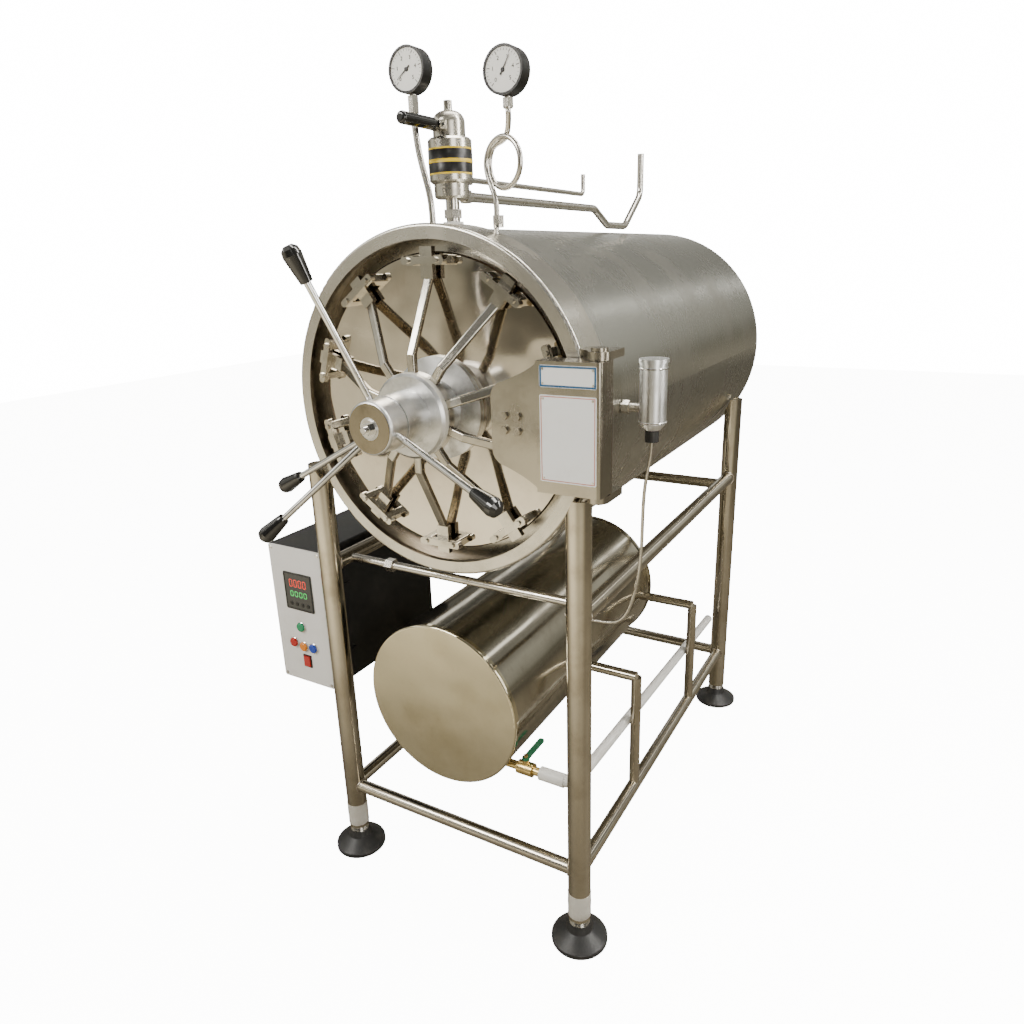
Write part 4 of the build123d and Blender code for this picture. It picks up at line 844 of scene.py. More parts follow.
def solids_of(node: bpy.types.Object) -> list[Box]:
    """Boxes of a piece's separate solids, from the lowest X to the highest.

    Args:
        node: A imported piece.

    Returns:
        One box for each solid.
    """
    mesh = node.data
    leader: dict[tuple[int, ...], tuple[int, ...]] = {}

    def lead(key: tuple[int, ...]) -> tuple[int, ...]:
        """The key that stands for a group.

        Args:
            key: Place of a vertex.

        Returns:
            The place of the group's leading vertex.
        """
        leader.setdefault(key, key)
        while leader[key] != key:
            leader[key] = leader[leader[key]]
            key = leader[key]
        return key

    keys = [tuple(round(c * 1e5) for c in v.co) for v in mesh.vertices]
    for edge in mesh.edges:
        first, second = (lead(keys[k]) for k in edge.vertices)
        leader[first] = second
    groups: dict[tuple[int, ...], list[Vector]] = {}
    for key, vertex in zip(keys, mesh.vertices):
        groups.setdefault(lead(key), []).append(vertex.co)
    boxes = [Box(Vector([min(c[k] for c in cloud) for k in range(3)]),
                 Vector([max(c[k] for c in cloud) for k in range(3)])) for cloud in groups.values()]
    return sorted(boxes, key=lambda box: (round(box.middle.x, 4), box.middle.y, box.middle.z))


def made_of(name: str, points: Sequence[Sequence[float]], faces: Sequence[Sequence[int]],
            smooth: bool = False) -> bpy.types.Object:
    """A mesh object from points and faces.

    Args:
        name: Name of the piece.
        points: Its vertices.
        faces: Its faces, by vertex number.
        smooth: True for round surfaces.

    Returns:
        The object, in the scene.
    """
    mesh = bpy.data.meshes.new(name)
    mesh.from_pydata([tuple(p) for p in points], [], [tuple(f) for f in faces])
    return settled(name, mesh, smooth)


def settled(name: str, mesh: bpy.types.Mesh, smooth: bool = True) -> bpy.types.Object:
    """Links a finished mesh as a piece, with its faces outwards.

    Args:
        name: Name of the piece.
        mesh: The mesh.
        smooth: True for round surfaces.

    Returns:
        The object.
    """
    tidy = bmesh.new()
    tidy.from_mesh(mesh)
    bmesh.ops.recalc_face_normals(tidy, faces=tidy.faces)
    tidy.to_mesh(mesh)
    tidy.free()
    mesh.polygons.foreach_set("use_smooth", [smooth] * len(mesh.polygons))
    if smooth:
        mesh.set_sharp_from_angle(angle=SHARP)
    piece = bpy.data.objects.new(name, mesh)
    bpy.context.scene.collection.objects.link(piece)
    return piece


def lathe(name: str, profile: Sequence[tuple[float, float]], base: Vector, axis: Vector,
          count: int = 48) -> bpy.types.Object:
    """Turns a closed profile round an axis.

    Args:
        name: Name of the piece.
        profile: Radius and height of each corner, in order round the section.
        base: Point of height 0.
        axis: Direction of the axis.
        count: Number of steps round.

    Returns:
        The object.
    """
    turn = axis.to_track_quat("Z", "Y").to_matrix()
    points, faces = [], []
    for step in range(count):
        angle = 2 * math.pi * step / count
        for radius, height in profile:
            points.append(base + turn @ Vector((radius * math.cos(angle), radius * math.sin(angle), height)))
    width = len(profile)
    for step in range(count):
        here, there = step * width, (step + 1) % count * width
        for k in range(width):
            after = (k + 1) % width
            faces.append((here + k, there + k, there + after, here + after))
    piece = made_of(name, points, faces, True)
    mend = bmesh.new()
    mend.from_mesh(piece.data)
    bmesh.ops.remove_doubles(mend, verts=mend.verts, dist=MERGE)
    bmesh.ops.dissolve_degenerate(mend, edges=mend.edges, dist=MERGE)
    bmesh.ops.recalc_face_normals(mend, faces=mend.faces)
    mend.to_mesh(piece.data)
    mend.free()
    return piece


def ring_profile(inner: float, outer: float, low: float, high: float,
                 soft: float = 0.0) -> list[tuple[float, float]]:
    """Section of a band or collar.

    Args:
        inner: Inner radius.
        outer: Outer radius.
        low: Start along the axis.
        high: End along the axis.
        soft: Bevel of the outer edges.

    Returns:
        The section's corners.
    """
    return [(inner, low), (outer - soft, low), (outer, low + soft), (outer, high - soft),
            (outer - soft, high), (inner, high)]


def bars(name: str, boxes: Iterable[tuple[Vector, Vector]]) -> bpy.types.Object:
    """Several closed blocks as one flat-faced piece.

    Args:
        name: Name of the piece.
        boxes: Lowest and highest corner of each block.

    Returns:
        The object.
    """
    points, faces = [], []
    for low, high in boxes:
        start = len(points)
        points += [(x, y, z) for x in (low[0], high[0]) for y in (low[1], high[1]) for z in (low[2], high[2])]
        faces += [[start + k for k in face] for face in
                  ((0, 1, 3, 2), (4, 6, 7, 5), (0, 4, 5, 1), (2, 3, 7, 6), (0, 2, 6, 4), (1, 5, 7, 3))]
    return made_of(name, points, faces)


def frame_bars(low: Vector, high: Vector, inset: float, width: float,
               depth: float) -> list[tuple[Vector, Vector]]:
    """Four thin bars round a front face, which looks along -Y.

    Args:
        low: Lowest corner of the face.
        high: Highest corner of the face.
        inset: Distance of the frame from the face's edge.
        width: Width of the bars.
        depth: How far the bars stand out.

    Returns:
        The corners of the bars.
    """
    x0, x1, z0, z1 = low.x + inset, high.x - inset, low.z + inset, high.z - inset
    y0, y1 = low.y - depth, low.y
    spans = ((x0, x1, z0, z0 + width), (x0, x1, z1 - width, z1),
             (x0, x0 + width, z0 + width, z1 - width), (x1 - width, x1, z0 + width, z1 - width))
    return [(Vector((a, y0, c)), Vector((b, y1, d))) for a, b, c, d in spans]


def corners_of(plate: Box, inset: float) -> list[Point]:
    """Points near the four corners of a plate's front face.

    Args:
        plate: The plate's box.
        inset: Distance of the points from its edges.

    Returns:
        The points.
    """
    return [(x, plate.low.y, z) for x in (plate.low.x + inset, plate.high.x - inset)
            for z in (plate.low.z + inset, plate.high.z - inset)]


# Patterns made with Geometry Nodes

class Pattern(Nodes):
    """A Geometry Nodes group with named inputs, used for everything that repeats."""

    def __init__(self, name: str, inputs: dict[str, str]) -> None:
        """Starts a group.

        Args:
            name: Name of the group.
            inputs: Socket type of each named input.
        """
        group = bpy.data.node_groups.new(name, "GeometryNodeTree")
        super().__init__(group)
        face = group.interface
        face.new_socket(name="Geometry", in_out="INPUT", socket_type="NodeSocketGeometry")
        self.keys: dict[str, str] = {}
        for label, kind in inputs.items():
            self.keys[label] = face.new_socket(name=label, in_out="INPUT", socket_type=kind).identifier
        face.new_socket(name="Geometry", in_out="OUTPUT", socket_type="NodeSocketGeometry")
        self.given = self.node("NodeGroupInput")
        self.result = self.node("NodeGroupOutput")

    def value(self, label: str) -> Signal:
        """One named input as a signal.

        Args:
            label: The input's name.

        Returns:
            Its value.
        """
        return Signal(self, self.given.outputs[label])

    def spread(self, part: bpy.types.NodeSocket) -> None:
        """Puts a part on every point of the host mesh, turned by its "turn" attribute, and closes the tree.

        Args:
            part: The part's geometry.
        """
        turn = self.node("GeometryNodeInputNamedAttribute", {"data_type": "FLOAT_VECTOR"}, {"Name": "turn"})
        placed = self.node("GeometryNodeInstanceOnPoints", None,
                           {"Points": self.given.outputs["Geometry"], "Instance": part,
                            "Rotation": turn.outputs[0]})
        self.close(placed.outputs[0])

    def close(self, shape: bpy.types.NodeSocket) -> None:
        """Realizes the instances, sets the material and ends the tree.

        Args:
            shape: The finished geometry.
        """
        real = self.node("GeometryNodeRealizeInstances", None, {"Geometry": shape})
        dressed = self.node("GeometryNodeSetMaterial", None,
                            {"Geometry": real.outputs[0], "Material": self.given.outputs["Finish"]})
        self.feed(self.result.inputs[0], dressed.outputs[0])

    def piece(self, name: str, points: Sequence[Point], turns: Sequence[Point],
              values: dict[str, object], smooth: bool = False) -> bpy.types.Object:
        """Runs the tree on a host mesh of points and keeps the result as a plain mesh.

        Args:
            name: Name of the piece.
            points: Where the parts go.
            turns: Euler turn of each part.
            values: Value of each named input.
            smooth: True for round surfaces.

        Returns:
            The finished object.
        """
        mesh = bpy.data.meshes.new(name + "_points")
        mesh.from_pydata([tuple(p) for p in points], [], [])
        turn = mesh.attributes.new("turn", "FLOAT_VECTOR", "POINT")
        turn.data.foreach_set("vector", [c for angles in turns for c in angles])
        host = bpy.data.objects.new(name + "_points", mesh)
        bpy.context.scene.collection.objects.link(host)
        live = host.modifiers.new("pattern", "NODES")
        live.node_group = self.tree
        for label, value in values.items():
            live[self.keys[label]] = value
        shape = bpy.data.meshes.new_from_object(host.evaluated_get(bpy.context.evaluated_depsgraph_get()))
        bpy.data.objects.remove(host)
        bpy.data.meshes.remove(mesh)
        for spare in [a.name for a in shape.attributes if a.name == "turn"]:
            shape.attributes.remove(shape.attributes[spare])
        return settled(name, shape, smooth)


FLOAT, COUNT, STUFF = "NodeSocketFloat", "NodeSocketInt", "NodeSocketMaterial"


class Fasteners(Pattern):
    """Bolt heads on washers, for every point of the host."""

    def __init__(self) -> None:
        """Builds the tree: a head with the asked number of sides on a round washer."""
        super().__init__("fasteners", {"Head Radius": FLOAT, "Head Height": FLOAT, "Sides": COUNT,
                                       "Washer Radius": FLOAT, "Washer Height": FLOAT, "Finish": STUFF})
        height, washer = self.value("Head Height"), self.value("Washer Height")
        head = self.node("GeometryNodeMeshCylinder", None,
                         {"Vertices": self.value("Sides"), "Radius": self.value("Head Radius"),
                          "Depth": height})
        flat = self.node("GeometryNodeMeshCylinder", None,
                         {"Vertices": 20, "Radius": self.value("Washer Radius"), "Depth": washer})
        lift = self.node("ShaderNodeCombineXYZ", None, {2: washer + height * 0.5})
        low = self.node("ShaderNodeCombineXYZ", None, {2: washer * 0.5})
        raised = self.node("GeometryNodeTransform", None,
                           {"Geometry": head.outputs[0], "Translation": lift.outputs[0]})
        seated = self.node("GeometryNodeTransform", None,
                           {"Geometry": flat.outputs[0], "Translation": low.outputs[0]})
        both = self.node("GeometryNodeJoinGeometry")
        self.tree.links.new(raised.outputs[0], both.inputs[0])
        self.tree.links.new(seated.outputs[0], both.inputs[0])
        self.spread(both.outputs[0])


class WeldRings(Pattern):
    """A weld bead that runs round a tube where it meets a round post."""

    ripple_scale: ClassVar[float] = 260.0

    def __init__(self) -> None:
        """Builds the tree: a circle laid on the post's face, given thickness and a ripple."""
        super().__init__("weld_rings", {"Tube Radius": FLOAT, "Post Radius": FLOAT, "Bead": FLOAT,
                                        "Ripple": FLOAT, "Seed": FLOAT, "Finish": STUFF})
        circle = self.node("GeometryNodeCurvePrimitiveCircle", None,
                           {"Resolution": 72, "Radius": self.value("Tube Radius")})
        x, y, _ = self.parts_of(self.signal("GeometryNodeInputPosition", 0))
        post = self.value("Post Radius")
        out = (post * post - y * y).sum("MAXIMUM", 0.0).root()
        laid = self.node("ShaderNodeCombineXYZ", None, {0: out, 1: y, 2: x})
        path = self.node("GeometryNodeSetPosition", None,
                         {"Geometry": circle.outputs[0], "Position": laid.outputs[0]})
        section = self.node("GeometryNodeCurvePrimitiveCircle", None,
                            {"Resolution": 8, "Radius": self.value("Bead")})
        bead = self.node("GeometryNodeCurveToMesh", None,
                         {"Curve": path.outputs[0], "Profile Curve": section.outputs[0]})
        place = self.signal("GeometryNodeInputPosition", 0)
        where = self.node("ShaderNodeVectorMath", {"operation": "ADD"}, {0: place, 1: self.value("Seed")})
        ripple = self.noise(Signal(self, where.outputs[0]), self.ripple_scale, 1.0) - 0.5
        push = self.node("ShaderNodeVectorMath", {"operation": "SCALE"},
                         {0: self.node("GeometryNodeInputNormal").outputs[0],
                          "Scale": ripple * self.value("Ripple")})
        rough = self.node("GeometryNodeSetPosition", None,
                          {"Geometry": bead.outputs[0], "Offset": push.outputs[0]})
        self.spread(rough.outputs[0])


class ArcMarks(Pattern):
    """Scale marks along an arc of a dial."""

    def __init__(self) -> None:
        """Builds the tree: bars on a row of points that is bent to an arc."""
        super().__init__("arc_marks", {"Marks": COUNT, "First Angle": FLOAT, "Step": FLOAT, "Radius": FLOAT,
                                       "Length": FLOAT, "Width": FLOAT, "Depth": FLOAT, "Finish": STUFF})
        row = self.node("GeometryNodeMeshLine", None, {"Count": self.value("Marks")})
        number = self.signal("GeometryNodeInputIndex", 0)
        angle = self.value("First Angle") - number * self.value("Step")
        radius = self.value("Radius")
        place = self.node("ShaderNodeCombineXYZ", None,
                          {0: radius * angle.sum("COSINE"), 1: radius * angle.sum("SINE")})
        arc = self.node("GeometryNodeSetPosition", None,
                        {"Geometry": row.outputs[0], "Position": place.outputs[0]})
        size = self.node("ShaderNodeCombineXYZ", None,
                         {0: self.value("Length"), 1: self.value("Width"), 2: self.value("Depth")})
        bar = self.node("GeometryNodeMeshCube", None, {"Size": size.outputs[0]})
        turn = self.node("ShaderNodeCombineXYZ", None, {2: angle})
        marks = self.node("GeometryNodeInstanceOnPoints", None,
                          {"Points": arc.outputs[0], "Instance": bar.outputs[0],
                           "Rotation": turn.outputs[0]})
        real = self.node("GeometryNodeRealizeInstances", None, {"Geometry": marks.outputs[0]})
        self.spread(real.outputs[0])


class ThreadRings(Pattern):
    """Ridges of a thread or of a ribbed sleeve along an axis."""

    def __init__(self) -> None:
        """Builds the tree: rings one above another."""
        super().__init__("thread_rings", {"Rings": COUNT, "Pitch": FLOAT, "Radius": FLOAT, "Ridge": FLOAT,
                                          "Finish": STUFF})
        lift = self.node("ShaderNodeCombineXYZ", None, {2: self.value("Pitch")})
        row = self.node("GeometryNodeMeshLine", None,
                        {"Count": self.value("Rings"), "Offset": lift.outputs[0]})
        circle = self.node("GeometryNodeCurvePrimitiveCircle", None,
                           {"Resolution": 40, "Radius": self.value("Radius")})
        section = self.node("GeometryNodeCurvePrimitiveCircle", None,
                            {"Resolution": 6, "Radius": self.value("Ridge")})
        ridge = self.node("GeometryNodeCurveToMesh", None,
                          {"Curve": circle.outputs[0], "Profile Curve": section.outputs[0]})
        rings = self.node("GeometryNodeInstanceOnPoints", None,
                          {"Points": row.outputs[0], "Instance": ridge.outputs[0]})
        real = self.node("GeometryNodeRealizeInstances", None, {"Geometry": rings.outputs[0]})
        self.spread(real.outputs[0])


FACING = (math.pi / 2, 0.0, 0.0)
UPRIGHT = (0.0, 0.0, 0.0)
FORWARD, BACKWARD, UP = Vector((0, -1, 0)), Vector((0, 1, 0)), Vector((0, 0, 1))


# The machine

@dataclass
class Machine:
    """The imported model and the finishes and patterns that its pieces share."""

    nodes: dict[str, bpy.types.Object]
    finishes: FinishBook = field(default_factory=FinishBook)
    fasteners: Fasteners = field(default_factory=Fasteners)
    welds: WeldRings = field(default_factory=WeldRings)
    marks: ArcMarks = field(default_factory=ArcMarks)
    threads: ThreadRings = field(default_factory=ThreadRings)

    def dress(self, finish: Finish, names: Iterable[str]) -> None:
        """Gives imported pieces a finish.

        Args:
            finish: The finish.
            names: Names of the pieces.
        """
        for name in names:
            self.finishes.dress(self.nodes[name], finish)
            log.info("dressed %s in %s", name, finish.name.lower())

    def paint_solids(self, name: str, finishes: Sequence[Finish], order: Sequence[Box]) -> None:
        """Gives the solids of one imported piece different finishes.

        Args:
            name: Name of the piece.
            finishes: One finish for each solid.
            order: The solids' boxes, in the order of the finishes.
        """
        mesh = self.nodes[name].data
        mesh.materials.clear()
        for finish in finishes:
            mesh.materials.append(self.finishes[finish])
        for face in mesh.polygons:
            for slot, box in enumerate(order):
                if box.holds(face.center):
                    face.material_index = slot

    def add(self, piece: bpy.types.Object, body: str, finish: Optional[Finish] = None) -> bpy.types.Object:
        """Hangs a new piece on a body and dresses it.

        Args:
            piece: The piece.
            body: Name of the body that it rides on.
            finish: Its finish, unless a pattern has set one.

        Returns:
            The piece.
        """
        if finish is not None:
            self.finishes.dress(piece, finish)
        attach(piece, body)
        log.info("built %s: %d faces", piece.name, len(piece.data.polygons))
        return piece

    def solids(self, name: str) -> list[Box]:
        """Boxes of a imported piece's solids.

        Args:
            name: Name of the piece.

        Returns:
            One box for each solid, from the lowest X to the highest.
        """
        return solids_of(self.nodes[name])

    def box(self, name: str) -> Box:
        """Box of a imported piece.

        Args:
            name: Name of the piece.

        Returns:
            Its box.
        """
        return Box(*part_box(name))


@dataclass
class Vessel:
    """Jacket, ring and door, with painted shade on the ring's inner walls and on the arms' sides that face
    away from the light.
    """

    machine: Machine
    seam: float = 0.0016
    seam_stand: float = 0.0004
    seam_inset: float = 0.0048
    seam_soft: float = 0.00048
    # Normal limits for the painted shade: ring faces that look at the axis, and arm faces that do not look
    # forward.
    inward: float = -0.5
    arm_front: float = -0.3
    arm_count: int = 10

    def dress(self) -> None:
        """Finishes of the vessel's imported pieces."""
        arms = [f"locking_arm_{k + 1}" for k in range(self.arm_count)]
        self.machine.dress(Finish.JACKET, ["jacket_cover", "rear_cover", "steam_jacket"])
        self.machine.dress(Finish.RING, ["ring_lip", "ring_band", "ring_flange", "chamber_shell",
                                         "chamber_head"])
        self.machine.dress(Finish.DOOR, ["door_plate"])
        self.machine.dress(Finish.SEAL, ["door_seal"])
        self.machine.dress(Finish.ARM, arms + ["bolt_guides"])
        self.machine.dress(Finish.HINGE, ["hinge_arm", "hinge_lugs", "hinge_pin"])

    def shade_inside(self, name: str) -> None:
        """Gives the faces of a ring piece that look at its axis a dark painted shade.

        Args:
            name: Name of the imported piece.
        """
        mesh = self.machine.nodes[name].data
        middle = self.machine.box(name).middle
        mesh.materials.append(self.machine.finishes[Finish.RING_INSIDE])
        for face in mesh.polygons:
            out = Vector((face.center.x - middle.x, 0.0, face.center.z - middle.z)).normalized()
            if face.normal.dot(out) < self.inward:
                face.material_index = 1

    def shade_behind(self, name: str) -> None:
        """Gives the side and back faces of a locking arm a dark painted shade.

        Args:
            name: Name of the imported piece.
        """
        mesh = self.machine.nodes[name].data
        mesh.materials.append(self.machine.finishes[Finish.ARM_BACK])
        for face in mesh.polygons:
            if face.normal.y > self.arm_front:
                face.material_index = 1

    def build(self) -> None:
        """Painted shade on the ring's inner walls and on the locking arms' sides, and the weld line round the
        jacket's back edge.
        """
        for name in ("ring_lip", "ring_band"):
            self.shade_inside(name)
        for number in range(self.arm_count):
            self.shade_behind(f"locking_arm_{number + 1}")
        cover = self.machine.box("jacket_cover")
        middle, radius = cover.middle, cover.size.x / 2
        back = Vector((middle.x, cover.high.y - self.seam_inset, middle.z))
        profile = ring_profile(radius - self.seam, radius - self.seam_stand, 0.0, self.seam, self.seam_soft)
        ring = lathe("jacket_back_weld", profile, back, BACKWARD, count=96)
        self.machine.add(ring, "machine", Finish.FITTING)


@dataclass
class DoorDrive:
    """Hub, handwheel and pull handle, with the nut, the disc and a pale collar band that is a painted
    highlight.
    """

    machine: Machine
    washer_r: float = 0.017
    washer: float = 0.003
    nut_r: float = 0.0115
    nut: float = 0.009
    stud_r: float = 0.0065
    stud: float = 0.006
    stud_edge: float = 0.001
    face_inset: float = 0.004
    face_slope: float = 0.0005
    face: float = 0.0008
    collar_r: float = 0.0825
    collar_back: float = 0.066
    # Sizes of the pale collar band, a painted highlight.
    band_start: float = 0.0052
    band_end: float = 0.0172
    band_stand: float = 0.0005
    band_depth: float = 0.002
    band_soft: float = 0.0004

    def dress(self) -> None:
        """Finishes of the drive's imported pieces."""
        self.machine.dress(Finish.HUB, ["hub_housing", "wheel_hub"])
        self.machine.dress(Finish.CHROME, ["wheel_rods", "pull_rod"])
        self.machine.dress(Finish.KNOB, ["wheel_knobs", "pull_knob"])

    def build(self) -> None:
        """Nut, stud and mirror disc on the wheel's front, and a pale band on the collar as a painted
        highlight.
        """
        hub = self.machine.box("wheel_hub")
        radius = (hub.high.z - hub.low.z) / 2
        front = Vector((hub.middle.x, hub.low.y, hub.middle.z))
        nut = self.machine.fasteners.piece(
            "wheel_nut", [tuple(front)], [FACING],
            {"Head Radius": self.nut_r, "Head Height": self.nut, "Sides": 6, "Washer Radius": self.washer_r,
             "Washer Height": self.washer, "Finish": self.machine.finishes[Finish.CHROME]})
        self.machine.add(nut, "handwheel")
        top = self.nut + self.washer
        end, edge = top + self.stud, self.stud_edge
        profile = [(0.0, top), (self.stud_r, top), (self.stud_r, end - edge), (self.stud_r - edge, end),
                   (0.0, end)]
        stud = lathe("wheel_stud", profile, front, FORWARD, count=24)
        self.machine.add(stud, "handwheel", Finish.CHROME)
        inner, outer, slope = self.washer_r + self.face_inset, radius - self.face_inset, self.face_slope
        profile = [(inner, 0.0), (outer, 0.0), (outer - slope, self.face), (inner + slope, self.face)]
        disc = lathe("wheel_face", profile, front, FORWARD, count=64)
        self.machine.add(disc, "handwheel", Finish.HUB_FACE)
        housing = self.machine.box("hub_housing")
        # Painted highlight: a cream band laid on the collar where a light at the right shines.
        collar = Vector((hub.middle.x, housing.low.y + self.collar_back, hub.middle.z))
        profile = ring_profile(self.collar_r - self.band_depth, self.collar_r + self.band_stand,
                               self.band_start, self.band_end, self.band_soft)
        band = lathe("collar_band", profile, collar, BACKWARD, count=96)
        self.machine.add(band, "door", Finish.BAND_CREAM)


@dataclass
class GaugePair:
    """Dial marks, pointers and nuts of the two pressure gauges."""

    machine: Machine
    relief: float = 0.0004
    sweep: float = math.radians(270)
    first: float = math.radians(225)
    numbers: int = 6
    between: int = 5
    readings: tuple[float, float] = (0.04, 0.62)
    nut_r: float = 0.0105
    nut: float = 0.014
    foot_nut_r: float = 0.0115
    foot_nut: float = 0.016
    neck_drop: float = 0.004
    foot_lift: float = 0.012
    neck_washer: float = 0.002
    neck_washer_share: float = 0.8
    foot_washer: float = 0.005
    foot_washer_share: float = 0.85
    long_mark: tuple[float, float] = (0.17, 0.030)
    short_mark: tuple[float, float] = (0.09, 0.014)
    mark_edge: float = 0.93
    figure_ring: float = 0.58
    figure_size: float = 0.26
    figure_steps: int = 3
    blade: tuple[tuple[float, float], ...] = (
        (-0.26, -0.045), (0.0, -0.035), (0.74, -0.008), (0.74, 0.008), (0.0, 0.035), (-0.26, 0.045))
    blade_lift: float = 0.001
    boss_foot: float = 0.11
    boss_top: float = 0.09
    boss: float = 0.002

    def dress(self) -> None:
        """Finishes of the gauges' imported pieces."""
        self.machine.dress(Finish.CASE, ["gauge_cases"])
        self.machine.dress(Finish.DIAL, ["gauge_dials"])
        self.machine.dress(Finish.FITTING, ["gauge_stem", "siphon_tube"])

    def numeral(self, name: str, text: str, size: float, at: Vector) -> bpy.types.Object:
        """One scale number as a flat mesh on the dial.

        Args:
            name: Name of the piece.
            text: The number.
            size: Height of the letters.
            at: Middle of the number.

        Returns:
            The mesh object.
        """
        curve = bpy.data.curves.new(name, "FONT")
        curve.body = text
        curve.size = size
        curve.align_x = "CENTER"
        curve.align_y = "CENTER"
        curve.extrude = self.relief / 2
        curve.resolution_u = self.figure_steps
        written = bpy.data.objects.new(name, curve)
        bpy.context.scene.collection.objects.link(written)
        mesh = bpy.data.meshes.new_from_object(
            written.evaluated_get(bpy.context.evaluated_depsgraph_get()))
        bpy.data.objects.remove(written)
        mesh.transform(Matrix.Translation(at) @ Matrix.Rotation(math.pi / 2, 4, "X"))
        return settled(name, mesh, False)

    def pointer(self, name: str, centre: Vector, radius: float, angle: float) -> bpy.types.Object:
        """A tapered pointer with a round hub.

        Args:
            name: Name of the piece.
            centre: Middle of the dial.
            radius: Radius of the dial.
            angle: Where the pointer points.

        Returns:
            The object.
        """
        ahead = Vector((math.cos(angle), 0, math.sin(angle)))
        side = Vector((-math.sin(angle), 0, math.cos(angle)))
        thick, lift = FORWARD * self.relief, FORWARD * self.blade_lift
        outline = [centre + lift + ahead * radius * r + side * radius * w for r, w in self.blade]
        points = outline + [p + thick for p in outline]
        count = len(outline)
        faces = [tuple(range(count)), tuple(range(2 * count - 1, count - 1, -1))]
        faces += [(k, (k + 1) % count, count + (k + 1) % count, count + k) for k in range(count)]
        blade = made_of(name, points, faces)
        profile = [(0.0, 0.0), (radius * self.boss_foot, 0.0), (radius * self.boss_top, self.boss),
                   (0.0, self.boss)]
        boss = lathe(name + "_boss", profile, centre, FORWARD, count=24)
        return joined([blade, boss])

    def scale(self, side: str, centre: Vector, radius: float, reading: float) -> None:
        """Marks, numbers and pointer of one gauge.

        Args:
            side: "left" or "right".
            centre: Middle of the dial.
            radius: Radius of the dial.
            reading: Where the pointer stands, as a share of the scale.
        """
        face = centre + FORWARD * (self.relief / 2)
        total = (self.numbers - 1) * self.between
        for label, count, (length, width) in (("ticks_long", self.numbers, self.long_mark),
                                              ("ticks_short", total + 1, self.short_mark)):
            marks = self.machine.marks.piece(
                f"gauge_{side}_{label}", [tuple(face)], [FACING],
                {"Marks": count, "First Angle": self.first, "Step": self.sweep / (count - 1),
                 "Radius": radius * (self.mark_edge - length / 2), "Length": radius * length,
                 "Width": radius * width, "Depth": self.relief,
                 "Finish": self.machine.finishes[Finish.DIAL_INK]})
            self.machine.add(marks, "machine")
        figures = []
        for k in range(self.numbers):
            angle = self.first - self.sweep * k / (self.numbers - 1)
            spot = face + Vector((math.cos(angle), 0, math.sin(angle))) * radius * self.figure_ring
            figures.append(self.numeral(f"figure_{side}_{k}", str(k), radius * self.figure_size, spot))
        numbers = joined(figures)
        numbers.name = f"gauge_{side}_numbers"
        self.machine.add(numbers, "machine", Finish.DIAL_INK)
        hand = self.pointer(f"gauge_{side}_pointer", centre, radius, self.first - self.sweep * reading)
        self.machine.add(hand, "machine", Finish.DIAL_INK)

    def build(self) -> None:
        """Builds the faces and the nuts of both gauges."""
        dials = self.machine.solids("gauge_dials")
        for side, dial, reading in zip(("left", "right"), dials, self.readings):
            centre = Vector((dial.middle.x, dial.low.y, dial.middle.z))
            self.scale(side, centre, dial.size.x / 2, reading)
        self.fittings()

    def fittings(self) -> None:
        """Hexagon nuts under the gauges and at the foot of the siphon."""
        cases = self.machine.solids("gauge_cases")
        steel = self.machine.finishes[Finish.FITTING]
        necks = [(box.middle.x, box.middle.y, box.low.z - self.nut - self.neck_drop) for box in cases]
        nuts = self.machine.fasteners.piece(
            "gauge_nuts", necks, [UPRIGHT] * len(necks),
            {"Head Radius": self.nut_r, "Head Height": self.nut, "Sides": 6,
             "Washer Radius": self.nut_r * self.neck_washer_share, "Washer Height": self.neck_washer,
             "Finish": steel})
        self.machine.add(nuts, "machine")
        siphon = self.machine.nodes["siphon_tube"].data
        foot = min(v.co.z for v in siphon.vertices)
        ring = [v.co for v in siphon.vertices if v.co.z < foot + TOUCH]
        middle = sum((c for c in ring), Vector()) / len(ring)
        base = self.machine.fasteners.piece(
            "siphon_foot_nut", [(middle.x, middle.y, foot + self.foot_lift)], [UPRIGHT],
            {"Head Radius": self.foot_nut_r, "Head Height": self.foot_nut, "Sides": 6,
             "Washer Radius": self.foot_nut_r * self.foot_washer_share,
             "Washer Height": self.foot_washer, "Finish": steel})
        self.machine.add(base, "machine")


def joined(pieces: Sequence[bpy.types.Object]) -> bpy.types.Object:
    """Joins plain mesh objects into the first one.

    Args:
        pieces: The objects, all at the origin.

    Returns:
        The first object, with every mesh in it.
    """
    whole = bmesh.new()
    for piece in pieces:
        whole.from_mesh(piece.data)
    whole.to_mesh(pieces[0].data)
    whole.free()
    for piece in pieces[1:]:
        bpy.data.objects.remove(piece)
    return pieces[0]


